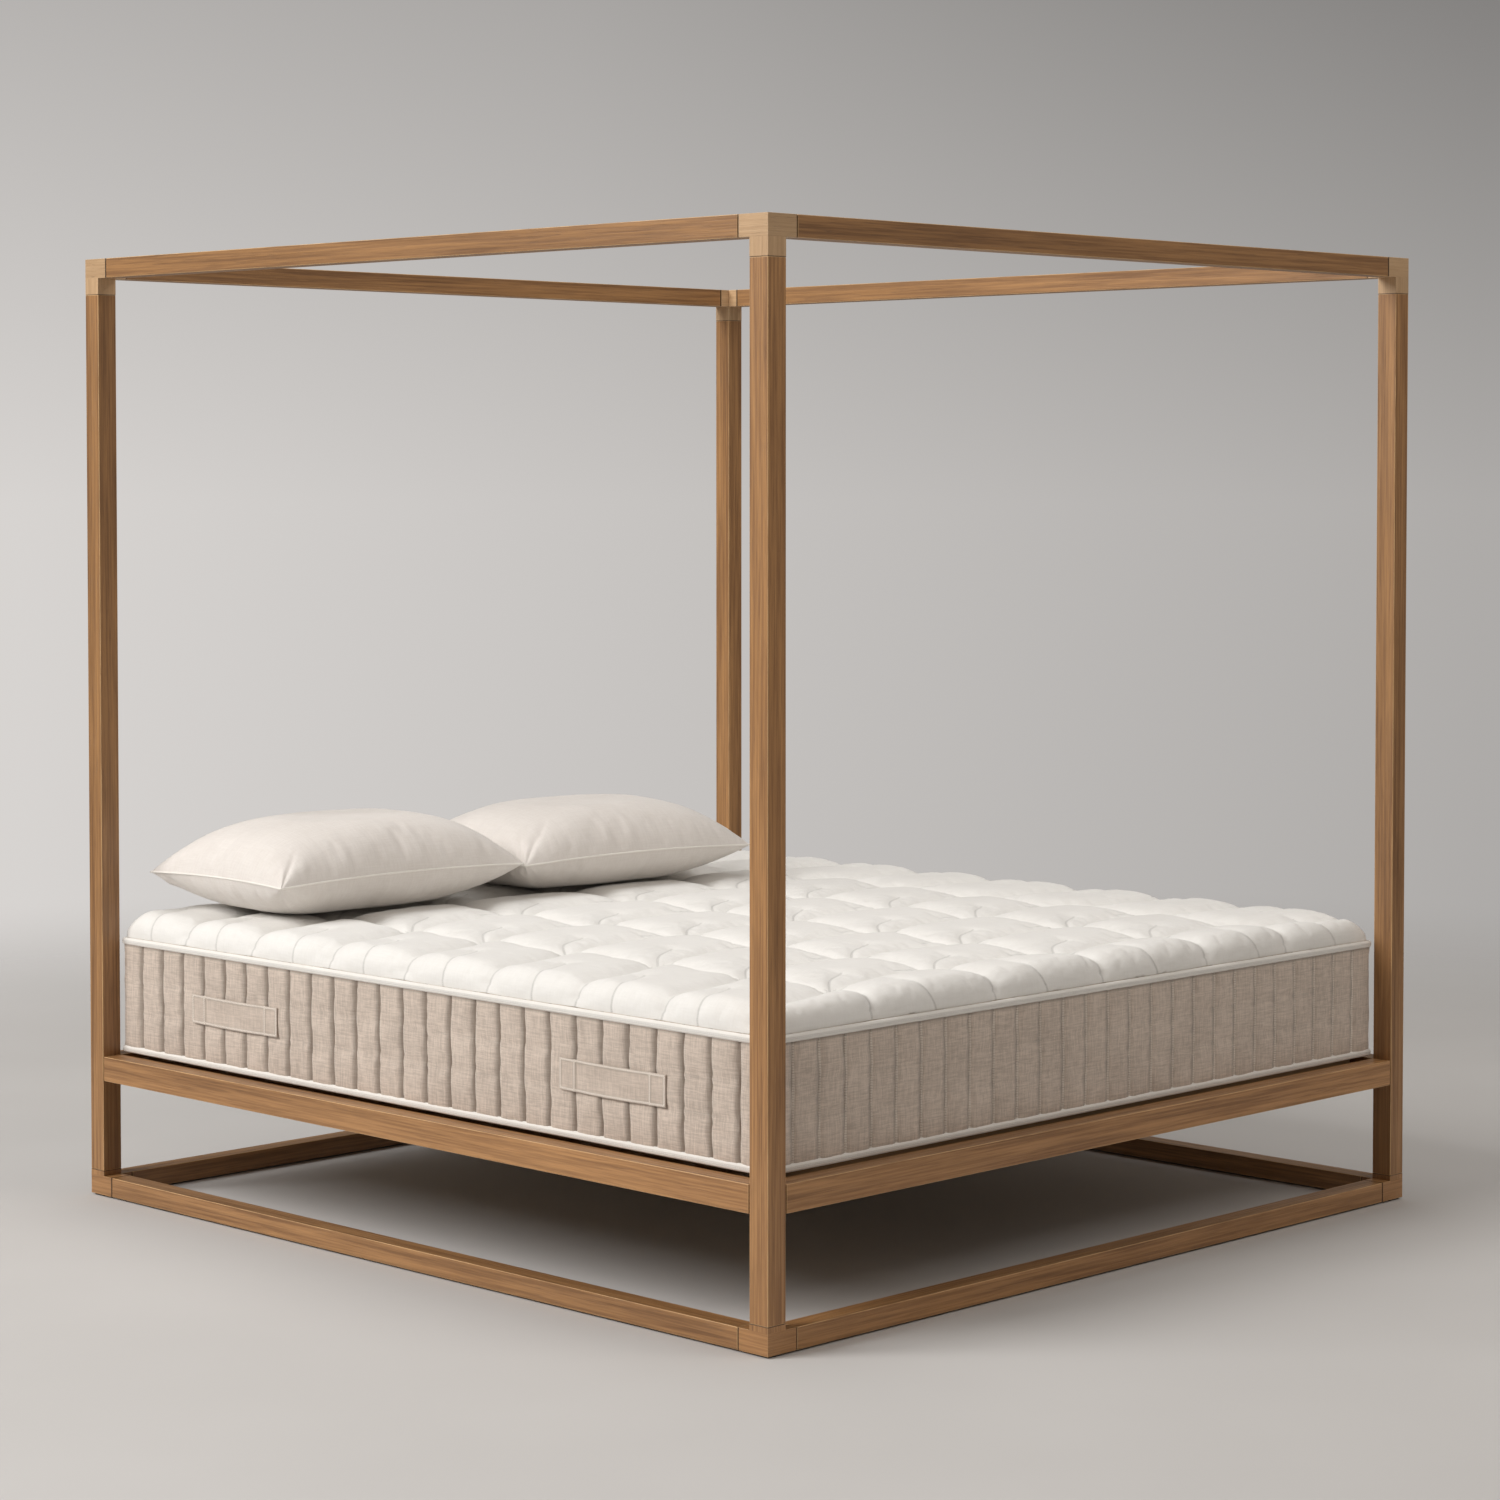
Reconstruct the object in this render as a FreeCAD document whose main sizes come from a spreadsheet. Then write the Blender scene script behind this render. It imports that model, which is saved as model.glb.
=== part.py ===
import FreeCAD, Part

import os
import re

import Sketcher

# Four poster canopy bed with its mattress and two pillows, in millimetres.
#
# Frame: origin on the floor at the middle of the bed, +Z up, +Y towards the head, +X towards the right
# of someone who stands at the foot and faces the head. "left" and "right" are those of that person.
#
# The timber frame grows from the mattress: its width and length are the mattress, a clearance all round
# and a post on each side. Every piece at a corner is modelled in the corner's own frame, whose origin is
# the corner's outer upright edge and whose +X and +Y run along the two rails, and is then turned by
# quarter turns to the four corners.

Vector = FreeCAD.Vector
UP = Vector(0, 0, 1)

SIZES = [
    ("mattress_width", 1938, "mattress over its edge tapes, across the bed"),
    ("mattress_length", 2038, "mattress over its edge tapes, along the bed"),
    ("mattress_clearance", 3, "gap between mattress and posts"),
    ("mattress_rise", 6, "underside of the mattress above the top of the bed rails"),
    ("mattress_corner", 20, "radius of the border's corners seen from above"),
    ("dome_corner", 57, "radius of the top panel's corners seen from above, on the outline of the tapes"),
    ("border_height", 260, "height of the mattress's side border"),
    ("border_thickness", 12, "quilted side border"),
    ("dome_height", 61, "quilted top panel above the border"),
    ("dome_edge", 50, "rounding of the top panel's edge"),
    ("base_panel", 8, "panel that closes the mattress underneath"),
    ("tape_height", 16, "edge tape, top and bottom"),
    ("tape_proud", 3, "edge tape in front of the border"),
    ("handle_length", 300, "sewn strap handle"),
    ("handle_height", 63, "sewn strap handle"),
    ("handle_thickness", 2.5, "sewn strap handle"),
    ("handle_spread", 1200, "between the middles of the two handles on a side"),
    ("handle_centre", 128, "middle of a handle above the underside of the mattress"),
    ("overall_height", 2108, "floor to the top of the canopy"),
    ("post_side", 48, "square section of the posts, and depth of all rails"),
    ("canopy_rail_height", 43, "section height of the canopy rails"),
    ("base_rail_height", 43, "section height of the base rails"),
    ("bed_rail_height", 55, "section height of the bed rails"),
    ("bed_rail_top", 318, "top of the bed rails above the floor"),
    ("bed_rail_gap", 2.5, "shadow gap between bed rail and post"),
    ("joint_gap", 2, "shadow gap between a connector's arm and its rail"),
    ("arm_length", 29, "connector arm beyond the post"),
    ("top_leg", 37, "top connector's leg below the canopy rails"),
    ("base_leg", 12, "base connector's leg above the base rails"),
    ("timber_ease", 1.6, "rounding of posts and rails"),
    ("connector_ease", 0.8, "rounding of connectors"),
    ("tenon_width", 24, "loose tenon"),
    ("tenon_thickness", 16, "loose tenon"),
    ("corner_bite", 8, "tenon past the arm into the connector's cube"),
    ("rail_bite", 32, "tenon inside a rail"),
    ("post_bite", 40, "tenon inside a post"),
    ("tenon_fit", 0.2, "tenon clearance on each side"),
    ("tenon_end", 1, "tenon clearance at each end"),
    ("glide_height", 4, "glide under each base connector"),
    ("glide_side", 36, "square glide"),
    ("pin_radius", 4, "pin that holds a glide"),
    ("pin_length", 14, "pin that holds a glide"),
    ("pin_fit", 0.15, "clearance round a glide's pin"),
    ("plate_width", 26, "bed rail bracket plates"),
    ("plate_margin", 3.5, "bracket plates short of the bed rail's top and underside"),
    ("plate_thickness", 3, "bed rail bracket plates and beam hangers"),
    ("plate_fit", 0.1, "clearance round a plate in its recess"),
    ("hook_thickness", 5, "hook of a bracket"),
    ("hook_neck_share", 0.23, "height of a hook where it passes the slotted plate, of the plate's length"),
    ("hook_drop_share", 0.165, "how far a hook hangs behind the slotted plate, of the plate's length"),
    ("hook_reach", 5.5, "hook behind the slotted plate"),
    ("hook_fit", 0.5, "clearance of a hook in its slot"),
    ("slot_room_share", 0.165, "slot above the neck, which lets the hook drop in, of the plate's length"),
    ("cavity_depth", 9, "room for the hook in the post, behind its plate"),
    ("plate_screw_edge", 5, "middle of a bracket plate's screw from the plate's end"),
    ("screw_head_radius", 3.6, "countersunk screw"),
    ("screw_head_height", 2.2, "countersunk screw"),
    ("screw_radius", 2, "countersunk screw"),
    ("screw_sink", 0.2, "screw head below the surface"),
    ("screw_fit", 0.2, "clearance round a screw in what it passes through"),
    ("plate_screw_length", 30, "screw through a bracket plate or hanger"),
    ("ledger_screw_length", 112, "screw through a ledger"),
    ("slat_screw_length", 35, "screw through a slat"),
    ("ledger_width", 92, "ledger along a side rail"),
    ("ledger_height", 30, "ledger along a side rail"),
    ("ledger_end_gap", 5, "ledger short of the end rails"),
    ("slat_count", 14, "slats"),
    ("slat_width", 90, "slat"),
    ("slat_thickness", 20, "slat"),
    ("slat_ease", 3, "rounding of a slat"),
    ("slat_end_gap", 60, "slat short of the side rails"),
    ("slat_margin", 20, "first and last slat from the end rails"),
    ("beam_width", 60, "centre beam, a rectangular steel tube"),
    ("beam_height", 36, "centre beam"),
    ("beam_wall", 2, "centre beam"),
    ("beam_end_gap", 0.5, "centre beam short of its hangers"),
    ("hanger_reach", 35, "hanger under the end of the beam"),
    ("hanger_ear", 20, "hanger's plate beside its cheek"),
    ("hanger_fit", 0.3, "clearance between beam and hanger cheek"),
    ("soft_gap", 0.3, "between soft pieces and what they rest on"),
    ("pillow_width", 710, "filled pillow at its seam"),
    ("pillow_depth", 480, "filled pillow at its seam"),
    ("pillow_loft", 205, "filled pillow"),
    ("pillow_seam", 82, "seam above the pillow's underside"),
    ("pillow_shoulder", 150, "height where the pillow's top begins to flatten"),
    ("pillow_foot_inset", 95, "underside of the pillow inside its seam"),
    ("pillow_shoulder_inset", 48, "shoulder inside the seam"),
    ("pillow_crown_inset", 150, "flat of the crown inside the seam"),
    ("pillow_side_margin", 64, "left pillow from the mattress's left side"),
    ("pillow_head_margin", 17, "left pillow from the mattress's head end"),
    ("pillow_step", 17, "right pillow's middle nearer the foot than the left one's"),
    ("pillow_turn", 3, "right pillow turned clockwise, in degrees"),
    ("pillow_gap", 0.8, "between the two pillows"),
]

# Sizes that follow from the driving ones, as expressions on the sheet.
INNER_WIDTH = "(mattress_width + 2 * mattress_clearance)"
INNER_LENGTH = "(mattress_length + 2 * mattress_clearance)"
FRAME_WIDTH = f"({INNER_WIDTH} + 2 * post_side)"
FRAME_LENGTH = f"({INNER_LENGTH} + 2 * post_side)"
CANOPY_Z = "(overall_height - canopy_rail_height)"
BED_RAIL_Z = "(bed_rail_top - bed_rail_height)"
BED_RAIL_MIDDLE = "(bed_rail_top - bed_rail_height / 2)"
PLATE_LENGTH = "(bed_rail_height - 2 * plate_margin)"
HOOK_NECK = f"(hook_neck_share * {PLATE_LENGTH})"
HOOK_DROP = f"(hook_drop_share * {PLATE_LENGTH})"
SLOT_ROOM = f"(slot_room_share * {PLATE_LENGTH})"
POST_Z = "(glide_height + base_rail_height + base_leg)"
POST_HEIGHT = f"({CANOPY_Z} - top_leg - {POST_Z})"
MATTRESS_Z = "(bed_rail_top + mattress_rise)"
SLAT_Z = f"({MATTRESS_Z} - soft_gap - slat_thickness)"
SLAT_PITCH = f"(({INNER_LENGTH} - 2 * slat_margin - slat_width) / (slat_count - 1))"
SLAT_SCREW_X = f"({INNER_WIDTH} / 2 - (slat_end_gap + ledger_width) / 2)"
BEAM_Z = f"({SLAT_Z} - beam_height)"

# Each corner: quarter turns from the foot left one, and on which side of the middle it stands.
CORNERS = {
    "foot_left": (0, -1, -1),
    "foot_right": (1, 1, -1),
    "head_right": (2, 1, 1),
    "head_left": (3, -1, 1),
}

# Each side: quarter turns of a rail that is modelled along +X, the frame's size that it spans, and
# where its lowest corner goes once it is turned.
SIDES = {
    "left": (1, FRAME_LENGTH, f"-{FRAME_WIDTH} / 2 + post_side", "-{run} / 2"),
    "right": (1, FRAME_LENGTH, f"{FRAME_WIDTH} / 2", "-{run} / 2"),
    "foot": (0, FRAME_WIDTH, "-{run} / 2", f"-{FRAME_LENGTH} / 2"),
    "head": (0, FRAME_WIDTH, "-{run} / 2", f"{FRAME_LENGTH} / 2 - post_side"),
}

doc = FreeCAD.newDocument("canopy_bed")
nodes = []


def fill_sheet():
    """Put every driving size in the sheet, one row each, with its meaning beside it."""
    table = doc.addObject("Spreadsheet::Sheet", "sizes")
    for row, (alias, size, meaning) in enumerate(SIZES, 1):
        table.set(f"A{row}", meaning)
        table.set(f"B{row}", str(size))
        table.setAlias(f"B{row}", alias)
    doc.recompute()
    return table


sheet = fill_sheet()
ALIASES = {alias for alias, size, meaning in SIZES}


def on_sheet(expression):
    """Point each size's name in an expression at its cell."""
    return re.sub(r"[a-z_]+", lambda word: "sizes." + word[0] if word[0] in ALIASES else word[0], expression)


def number(expression):
    """What an expression on the sheet comes to."""
    return float(sheet.evalExpression(on_sheet(expression)))


def bind(thing, **expressions):
    """Bind properties to expressions. A double underscore in a name stands for a full stop."""
    for name, expression in expressions.items():
        thing.setExpression(name.replace("__", "."), on_sheet(str(expression)))


def place(thing, x, y, z, turn=0):
    """Turn a piece by some degrees about Z, then bind its place."""
    thing.Placement = FreeCAD.Placement(Vector(), FreeCAD.Rotation(UP, turn))
    bind(thing, Placement__Base__x=x, Placement__Base__y=y, Placement__Base__z=z)


def keep(thing, name):
    """Name a finished sub-part and list it for export."""
    thing.Label = name
    nodes.append(thing)
    return thing


def polygon_sketch(body, corners):
    """A closed sketch of level and upright lines on the body's XY plane, from the origin.

    corners holds the outline's points as pairs of expressions. Each line but the last two, which the
    others fix, gets its length from the sheet.
    """
    sketch = body.newObject("Sketcher::SketchObject", "outline")
    plane = [p for p in body.Origin.OriginFeatures if p.Role == "XY_Plane"][0]
    sketch.AttachmentSupport = (plane, "")
    sketch.MapMode = "FlatFace"
    points = [Vector(number(x), number(y), 0) for x, y in corners]
    count = len(points)
    for i in range(count):
        sketch.addGeometry(Part.LineSegment(points[i], points[(i + 1) % count]), False)
    for i in range(count):
        level = abs(points[i].y - points[(i + 1) % count].y) < 1e-9
        sketch.addConstraint(Sketcher.Constraint("Coincident", i, 2, (i + 1) % count, 1))
        sketch.addConstraint(Sketcher.Constraint("Horizontal" if level else "Vertical", i))
    sketch.addConstraint(Sketcher.Constraint("Coincident", 0, 1, -1, 1))
    for i in range(count - 2):
        axis = 0 if abs(points[i].y - points[i + 1].y) < 1e-9 else 1
        ends = (1, 2) if points[i + 1][axis] > points[i][axis] else (2, 1)
        low, high = (i, i + 1) if ends == (1, 2) else (i + 1, i)
        length = points[high][axis] - points[low][axis]
        kind = ("DistanceX", "DistanceY")[axis]
        spot = sketch.addConstraint(Sketcher.Constraint(kind, i, ends[0], i, ends[1], length))
        bind(sketch, **{f"Constraints[{spot}]": f"({corners[high][axis]}) - ({corners[low][axis]})"})
    return sketch


def ease(body, radius, chosen=None):
    """Round every edge of a body's last feature, or those that chosen(edge, shape) picks."""
    doc.recompute()
    base = body.Tip
    edges = enumerate(base.Shape.Edges, 1)
    rounding = body.newObject("PartDesign::Fillet", "ease")
    rounding.Base = (base, [f"Edge{i}" for i, edge in edges if chosen is None or chosen(edge, base.Shape)])
    bind(rounding, Radius=radius)


def padded_body(name, corners, height):
    """A body with one pad of an outline."""
    body = doc.addObject("PartDesign::Body", name)
    pad = body.newObject("PartDesign::Pad", "pad")
    pad.Profile = polygon_sketch(body, corners)
    bind(pad, Length=height)
    body.Tip = pad
    return body


def rectangle(length, width):
    return [("0", "0"), (length, "0"), (length, width), ("0", width)]


def add_box(body, kind, name, length, width, height, x, y, z):
    """Add or cut a box whose lowest corner is at x, y, z in the body."""
    feature = body.newObject("PartDesign::" + kind, name)
    bind(feature, Length=length, Width=width, Height=height)
    bind(feature, Placement__Base__x=x, Placement__Base__y=y, Placement__Base__z=z)
    return feature


def block(name, length, width, height, x, y, z):
    """A plain box from its lowest corner."""
    box = doc.addObject("Part::Box", name)
    bind(box, Length=length, Width=width, Height=height)
    place(box, x, y, z)
    return box


def joined(name, pieces, kind="Part::MultiFuse"):
    """Fuse pieces into one solid, or keep them apart in a Part::Compound."""
    whole = doc.addObject(kind, name)
    if kind == "Part::Compound":
        whole.Links = pieces
    else:
        whole.Shapes = pieces
    return whole


def cut(name, base, tool):
    """Base less tool."""
    result = doc.addObject("Part::Cut", name)
    result.Base = base
    result.Tool = tool
    return result


def copies(name, master, placements):
    """Separate copies of a master piece's solids, one at each placement, in one object."""
    doc.recompute()
    group = doc.addObject("Part::Feature", name)
    group.Shape = Part.makeCompound([master.Shape.transformed(p.toMatrix(), True) for p in placements])
    group.Placement = FreeCAD.Placement()
    return group


def turned(x, y, z, degrees=0, axis=UP):
    """A placement from numbers."""
    return FreeCAD.Placement(Vector(x, y, z), FreeCAD.Rotation(axis, degrees))


def corner_placement(corner):
    """A corner's own frame, at floor level."""
    turns, x, y = CORNERS[corner]
    return turned(x * number(FRAME_WIDTH) / 2, y * number(FRAME_LENGTH) / 2, 0, 90 * turns)


def place_at_corner(body, corner, z):
    turns, x, y = CORNERS[corner]
    place(body, f"{x} * {FRAME_WIDTH} / 2", f"{y} * {FRAME_LENGTH} / 2", z, 90 * turns)


def centred(size):
    """The low side of something of this size in the middle of a post's or rail's depth."""
    return f"(post_side - ({size})) / 2"


# ---------------------------------------------------------------- posts and connectors

MORTISE_WIDTH = "(tenon_width + 2 * tenon_fit)"
MORTISE_THICKNESS = "(tenon_thickness + 2 * tenon_fit)"


def cut_upright_mortise(body, name, depth, z):
    """A mortise for an upright tenon, on the corner's post line."""
    add_box(body, "SubtractiveBox", name, MORTISE_THICKNESS, MORTISE_WIDTH, depth,
            centred(MORTISE_THICKNESS), centred(MORTISE_WIDTH), z)


def make_post(corner):
    """A square post with a mortise at each end and two bracket recesses at bed rail height."""
    body = padded_body("post", rectangle("post_side", "post_side"), POST_HEIGHT)
    ease(body, "timber_ease")
    cut_upright_mortise(body, "foot_mortise", "post_bite", "0")
    cut_upright_mortise(body, "head_mortise", "post_bite", f"{POST_HEIGHT} - post_bite")
    middle = f"({BED_RAIL_MIDDLE} - {POST_Z})"
    width, length = "(plate_width + 2 * plate_fit)", f"({PLATE_LENGTH} + 2 * plate_fit)"
    room = "(hook_thickness + 4 * hook_fit)"
    tall = f"({HOOK_NECK} + {HOOK_DROP} + {SLOT_ROOM} + 4 * hook_fit)"
    recess_z = f"{middle} - {length} / 2"
    cavity_z = f"{middle} - {HOOK_NECK} / 2 - {HOOK_DROP} - 2 * hook_fit"
    inner = "post_side - plate_thickness"
    deep = f"{inner} - cavity_depth"
    add_box(body, "SubtractiveBox", "recess_x", "plate_thickness", width, length,
            inner, centred(width), recess_z)
    add_box(body, "SubtractiveBox", "cavity_x", "cavity_depth", room, tall, deep, centred(room), cavity_z)
    add_box(body, "SubtractiveBox", "recess_y", width, "plate_thickness", length,
            centred(width), inner, recess_z)
    add_box(body, "SubtractiveBox", "cavity_y", room, "cavity_depth", tall, centred(room), deep, cavity_z)
    place_at_corner(body, corner, POST_Z)
    return keep(body, "post_" + corner)


def make_connector(corner, name, rail_height, leg, low, mortise_z, z, bores=()):
    """A cube on the post line with an arm along each rail and a leg along the post.

    Each arm runs through the cube, as does the leg, which starts at low. The three are eased before they
    are joined, so the easing follows every outer edge and stops in the inner angles.
    """
    reach, tall = "(post_side + arm_length)", f"({rail_height} + {leg})"
    limbs = []
    for label, corners, height, bottom in (
            ("arm_x", rectangle(reach, "post_side"), rail_height, "0"),
            ("arm_y", rectangle("post_side", reach), rail_height, "0"),
            ("leg", rectangle("post_side", "post_side"), tall, low)):
        limb = padded_body(label, corners, height)
        ease(limb, "connector_ease")
        place(limb, "0", "0", bottom)
        limbs.append(limb)
    solid = joined(name + "_solid", limbs)
    solid.Refine = True

    depth, start = "arm_length + corner_bite", "post_side - corner_bite"
    arm_z = f"({rail_height} - {MORTISE_WIDTH}) / 2"
    thin, wide = centred(MORTISE_THICKNESS), centred(MORTISE_WIDTH)
    mortises = [
        block("mortise_x", depth, MORTISE_THICKNESS, MORTISE_WIDTH, start, thin, arm_z),
        block("mortise_y", MORTISE_THICKNESS, depth, MORTISE_WIDTH, thin, start, arm_z),
        block("mortise_z", MORTISE_THICKNESS, MORTISE_WIDTH, f"{leg} + corner_bite", thin, wide, mortise_z),
    ]
    connector = cut(name, solid, joined(name + "_tools", mortises + list(bores), "Part::Compound"))
    place_at_corner(connector, corner, z)
    return keep(connector, f"{name}_{corner}")


def make_top_connector(corner):
    make_connector(corner, "top_connector", "canopy_rail_height", "top_leg",
                   "-top_leg", "-top_leg", CANOPY_Z)


def make_base_connector(corner):
    """Like the top one, upside down with a short leg, and bored underneath for the glide's pin."""
    bore = doc.addObject("Part::Cylinder", "pin_bore")
    bind(bore, Radius="pin_radius + pin_fit", Height="pin_length + pin_fit")
    place(bore, "post_side / 2", "post_side / 2", "0")
    make_connector(corner, "base_connector", "base_rail_height", "base_leg", "0",
                   "base_rail_height - corner_bite", "glide_height", [bore])


def make_tenons(name, rail_height, rail_z, post_low, post_high):
    """The two rail tenons and the post tenon of each corner, all four corners in one object."""
    start = "post_side - corner_bite + tenon_end"
    run = "corner_bite + arm_length + joint_gap + rail_bite - 2 * tenon_end"
    z = f"{rail_z} + ({rail_height} - tenon_width) / 2"
    thin, wide = centred("tenon_thickness"), centred("tenon_width")
    along_x = block("tenon_x", run, "tenon_thickness", "tenon_width", start, thin, z)
    along_y = block("tenon_y", "tenon_thickness", run, "tenon_width", thin, start, z)
    upright_run = f"{post_high} - ({post_low}) - 2 * tenon_end"
    upright = block("tenon_z", "tenon_thickness", "tenon_width", upright_run,
                    thin, wide, f"{post_low} + tenon_end")
    master = joined("corner_tenons", [along_x, along_y, upright], "Part::Compound")
    keep(copies(name, master, [corner_placement(c) for c in CORNERS]), name)


def make_glides():
    """A square glide with a pin under each base connector."""
    edge = centred("glide_side")
    pad = block("glide_pad", "glide_side", "glide_side", "glide_height", edge, edge, "0")
    pin = doc.addObject("Part::Cylinder", "glide_pin")
    bind(pin, Radius="pin_radius", Height="pin_length")
    place(pin, "post_side / 2", "post_side / 2", "glide_height")
    glide = joined("glide", [pad, pin])
    keep(copies("glides", glide, [corner_placement(c) for c in CORNERS]), "floor_glides")


# ---------------------------------------------------------------- rails

def make_rail(name, side, height, z, end):
    """An eased rail between the ends that the corners leave. Returns the body and its length."""
    turns, span, x, y = SIDES[side]
    run = f"({span} - 2 * ({end}))"
    body = padded_body(name, rectangle(run, "post_side"), height)
    ease(body, "timber_ease")
    place(body, x.format(run=run), y.format(run=run), z, 90 * turns)
    return keep(body, f"{name}_{side}"), run


def make_connected_rail(name, side, height, z):
    """A canopy or base rail, mortised at both ends for the connectors' tenons."""
    body, run = make_rail(name, side, height, z, "post_side + arm_length + joint_gap")
    for end, start in (("first", "0"), ("last", f"{run} - rail_bite")):
        add_box(body, "SubtractiveBox", end + "_mortise", "rail_bite", MORTISE_THICKNESS, MORTISE_WIDTH,
                start, centred(MORTISE_THICKNESS), f"({height} - {MORTISE_WIDTH}) / 2")


def make_bed_rail(side):
    """A bed rail, recessed at both ends for its hook plates."""
    body, run = make_rail("bed_rail", side, "bed_rail_height", BED_RAIL_Z, "post_side + bed_rail_gap")
    width, length = "(plate_width + 2 * plate_fit)", f"({PLATE_LENGTH} + 2 * plate_fit)"
    for end, start in (("first", "0"), ("last", f"{run} - plate_thickness")):
        add_box(body, "SubtractiveBox", end + "_recess", "plate_thickness", width, length,
                start, centred(width), f"(bed_rail_height - {length}) / 2")


# ---------------------------------------------------------------- screws and brackets

def make_screw(name, length):
    """A countersunk screw that points down -Z from a head whose top is at the origin."""
    head = doc.addObject("Part::Cone", name + "_head")
    bind(head, Radius1="screw_radius", Radius2="screw_head_radius", Height="screw_head_height")
    place(head, "0", "0", "-screw_head_height - screw_sink")
    shank = doc.addObject("Part::Cylinder", name + "_shank")
    bind(shank, Radius="screw_radius", Height=f"{length} - screw_head_height")
    place(shank, "0", "0", f"-{length} - screw_sink")
    return joined(name, [head, shank])


def make_screw_hole(name, depth):
    """What a screw passes through: a clearance hole, countersunk for the head, open above the surface."""
    flare = "(screw_head_radius - screw_radius) / screw_head_height"
    sink = doc.addObject("Part::Cone", name + "_sink")
    bind(sink, Radius1="screw_radius + screw_fit", Height="screw_head_height + 2 * screw_sink",
         Radius2=f"screw_head_radius + screw_fit + 2 * screw_sink * {flare}")
    place(sink, "0", "0", "-screw_head_height - screw_sink")
    bore = doc.addObject("Part::Cylinder", name + "_bore")
    bind(bore, Radius="screw_radius + screw_fit", Height=f"{depth} + 1")
    place(bore, "0", "0", f"-({depth}) - 1")
    return joined(name, [sink, bore])


def bracket_frames():
    """Each bed rail's end: origin on the post's face at the rail's middle, +X from post to rail."""
    side, height = number("post_side"), number(BED_RAIL_MIDDLE)
    on_faces = [turned(side, side / 2, height), turned(side / 2, side, height, 90)]
    return [corner_placement(corner).multiply(face) for corner in CORNERS for face in on_faces]


def make_brackets(plate_hole):
    """Slotted plates let into the posts and hooked plates let into the bed rails' ends."""
    half = number(f"{PLATE_LENGTH} / 2 - plate_screw_edge")
    gap = number("bed_rail_gap")
    heads_out = [turned(0, 0, z, 90, Vector(0, 1, 0)) for z in (-half, half)]
    heads_in = [turned(gap, 0, z, -90, Vector(0, 1, 0)) for z in (-half, half)]

    slotted = block("slotted_plate", "plate_thickness", "plate_width", PLATE_LENGTH,
                    "-plate_thickness", "-plate_width / 2", f"-{PLATE_LENGTH} / 2")
    slot = block("slot", "3 * plate_thickness", "hook_thickness + 2 * hook_fit",
                 f"{HOOK_NECK} + {SLOT_ROOM}",
                 "-2 * plate_thickness", "-hook_thickness / 2 - hook_fit", f"-{HOOK_NECK} / 2")
    tools = joined("slotted_plate_tools", [slot, copies("post_holes", plate_hole, heads_out)])
    post_plate = cut("post_plate", slotted, tools)

    flat = block("hook_plate_flat", "plate_thickness", "plate_width", PLATE_LENGTH,
                 "bed_rail_gap", "-plate_width / 2", f"-{PLATE_LENGTH} / 2")
    back = "plate_thickness + hook_fit + hook_reach"
    neck = block("hook_neck_piece", f"{back} + bed_rail_gap", "hook_thickness", HOOK_NECK,
                 f"-({back})", "-hook_thickness / 2", f"-{HOOK_NECK} / 2")
    tooth = block("hook_tooth", "hook_reach", "hook_thickness", f"{HOOK_DROP} + {HOOK_NECK} / 2",
                  f"-({back})", "-hook_thickness / 2", f"-{HOOK_NECK} / 2 - {HOOK_DROP}")
    drilled = cut("hook_plate_drilled", flat, copies("rail_holes", plate_hole, heads_in))
    hook_plate = joined("hook_plate", [drilled, neck, tooth])

    frames = bracket_frames()
    keep(copies("post_plates", post_plate, frames), "post_bracket_plates")
    keep(copies("hook_plates", hook_plate, frames), "rail_hook_plates")
    return [frame.multiply(head) for frame in frames for head in heads_out + heads_in]


# ---------------------------------------------------------------- deck under the mattress

def hanger_frames():
    """Inside middle of the foot and head rails at the beam's underside, +X towards the bed's middle."""
    end, height = number(INNER_LENGTH) / 2, number(BEAM_Z)
    return [turned(0, -end, height, 90), turned(0, end, height, -90)]


def make_centre_beam(plate_hole):
    """A steel tube under the slats, held by a cheeked hanger at each end."""
    run = f"({INNER_LENGTH} - 2 * plate_thickness - 2 * beam_end_gap)"
    outer = block("beam_outer", "beam_width", run, "beam_height", "-beam_width / 2", f"-{run} / 2", BEAM_Z)
    inner = block("beam_inner", "beam_width - 2 * beam_wall", f"{run} + 2", "beam_height - 2 * beam_wall",
                  "-beam_width / 2 + beam_wall", f"-{run} / 2 - 1", f"{BEAM_Z} + beam_wall")
    keep(cut("centre_beam", outer, inner), "centre_beam")

    cheek = "(beam_width / 2 + hanger_fit + plate_thickness)"
    half = f"({cheek} + hanger_ear)"
    plate = block("hanger_plate", "plate_thickness", f"2 * {half}", "beam_height + plate_thickness",
                  "0", f"-{half}", "-plate_thickness")
    shelf = block("hanger_shelf", "hanger_reach", f"2 * {cheek}", "plate_thickness",
                  "0", f"-{cheek}", "-plate_thickness")
    cheeks = [
        block("hanger_cheek", "hanger_reach", "plate_thickness", "beam_height", "0", y, "-plate_thickness")
        for y in (f"-{cheek}", f"{cheek} - plate_thickness")
    ]
    spread, height = number(f"{half} - hanger_ear / 2"), number("beam_height / 2")
    thick = number("plate_thickness")
    heads = [turned(thick, y, height, 90, Vector(0, 1, 0)) for y in (-spread, spread)]
    solid = joined("hanger_solid", [plate, shelf] + cheeks)
    hanger = cut("hanger", solid, copies("hanger_holes", plate_hole, heads))
    frames = hanger_frames()
    keep(copies("hangers", hanger, frames), "beam_hangers")
    return [frame.multiply(head) for frame in frames for head in heads]


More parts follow.
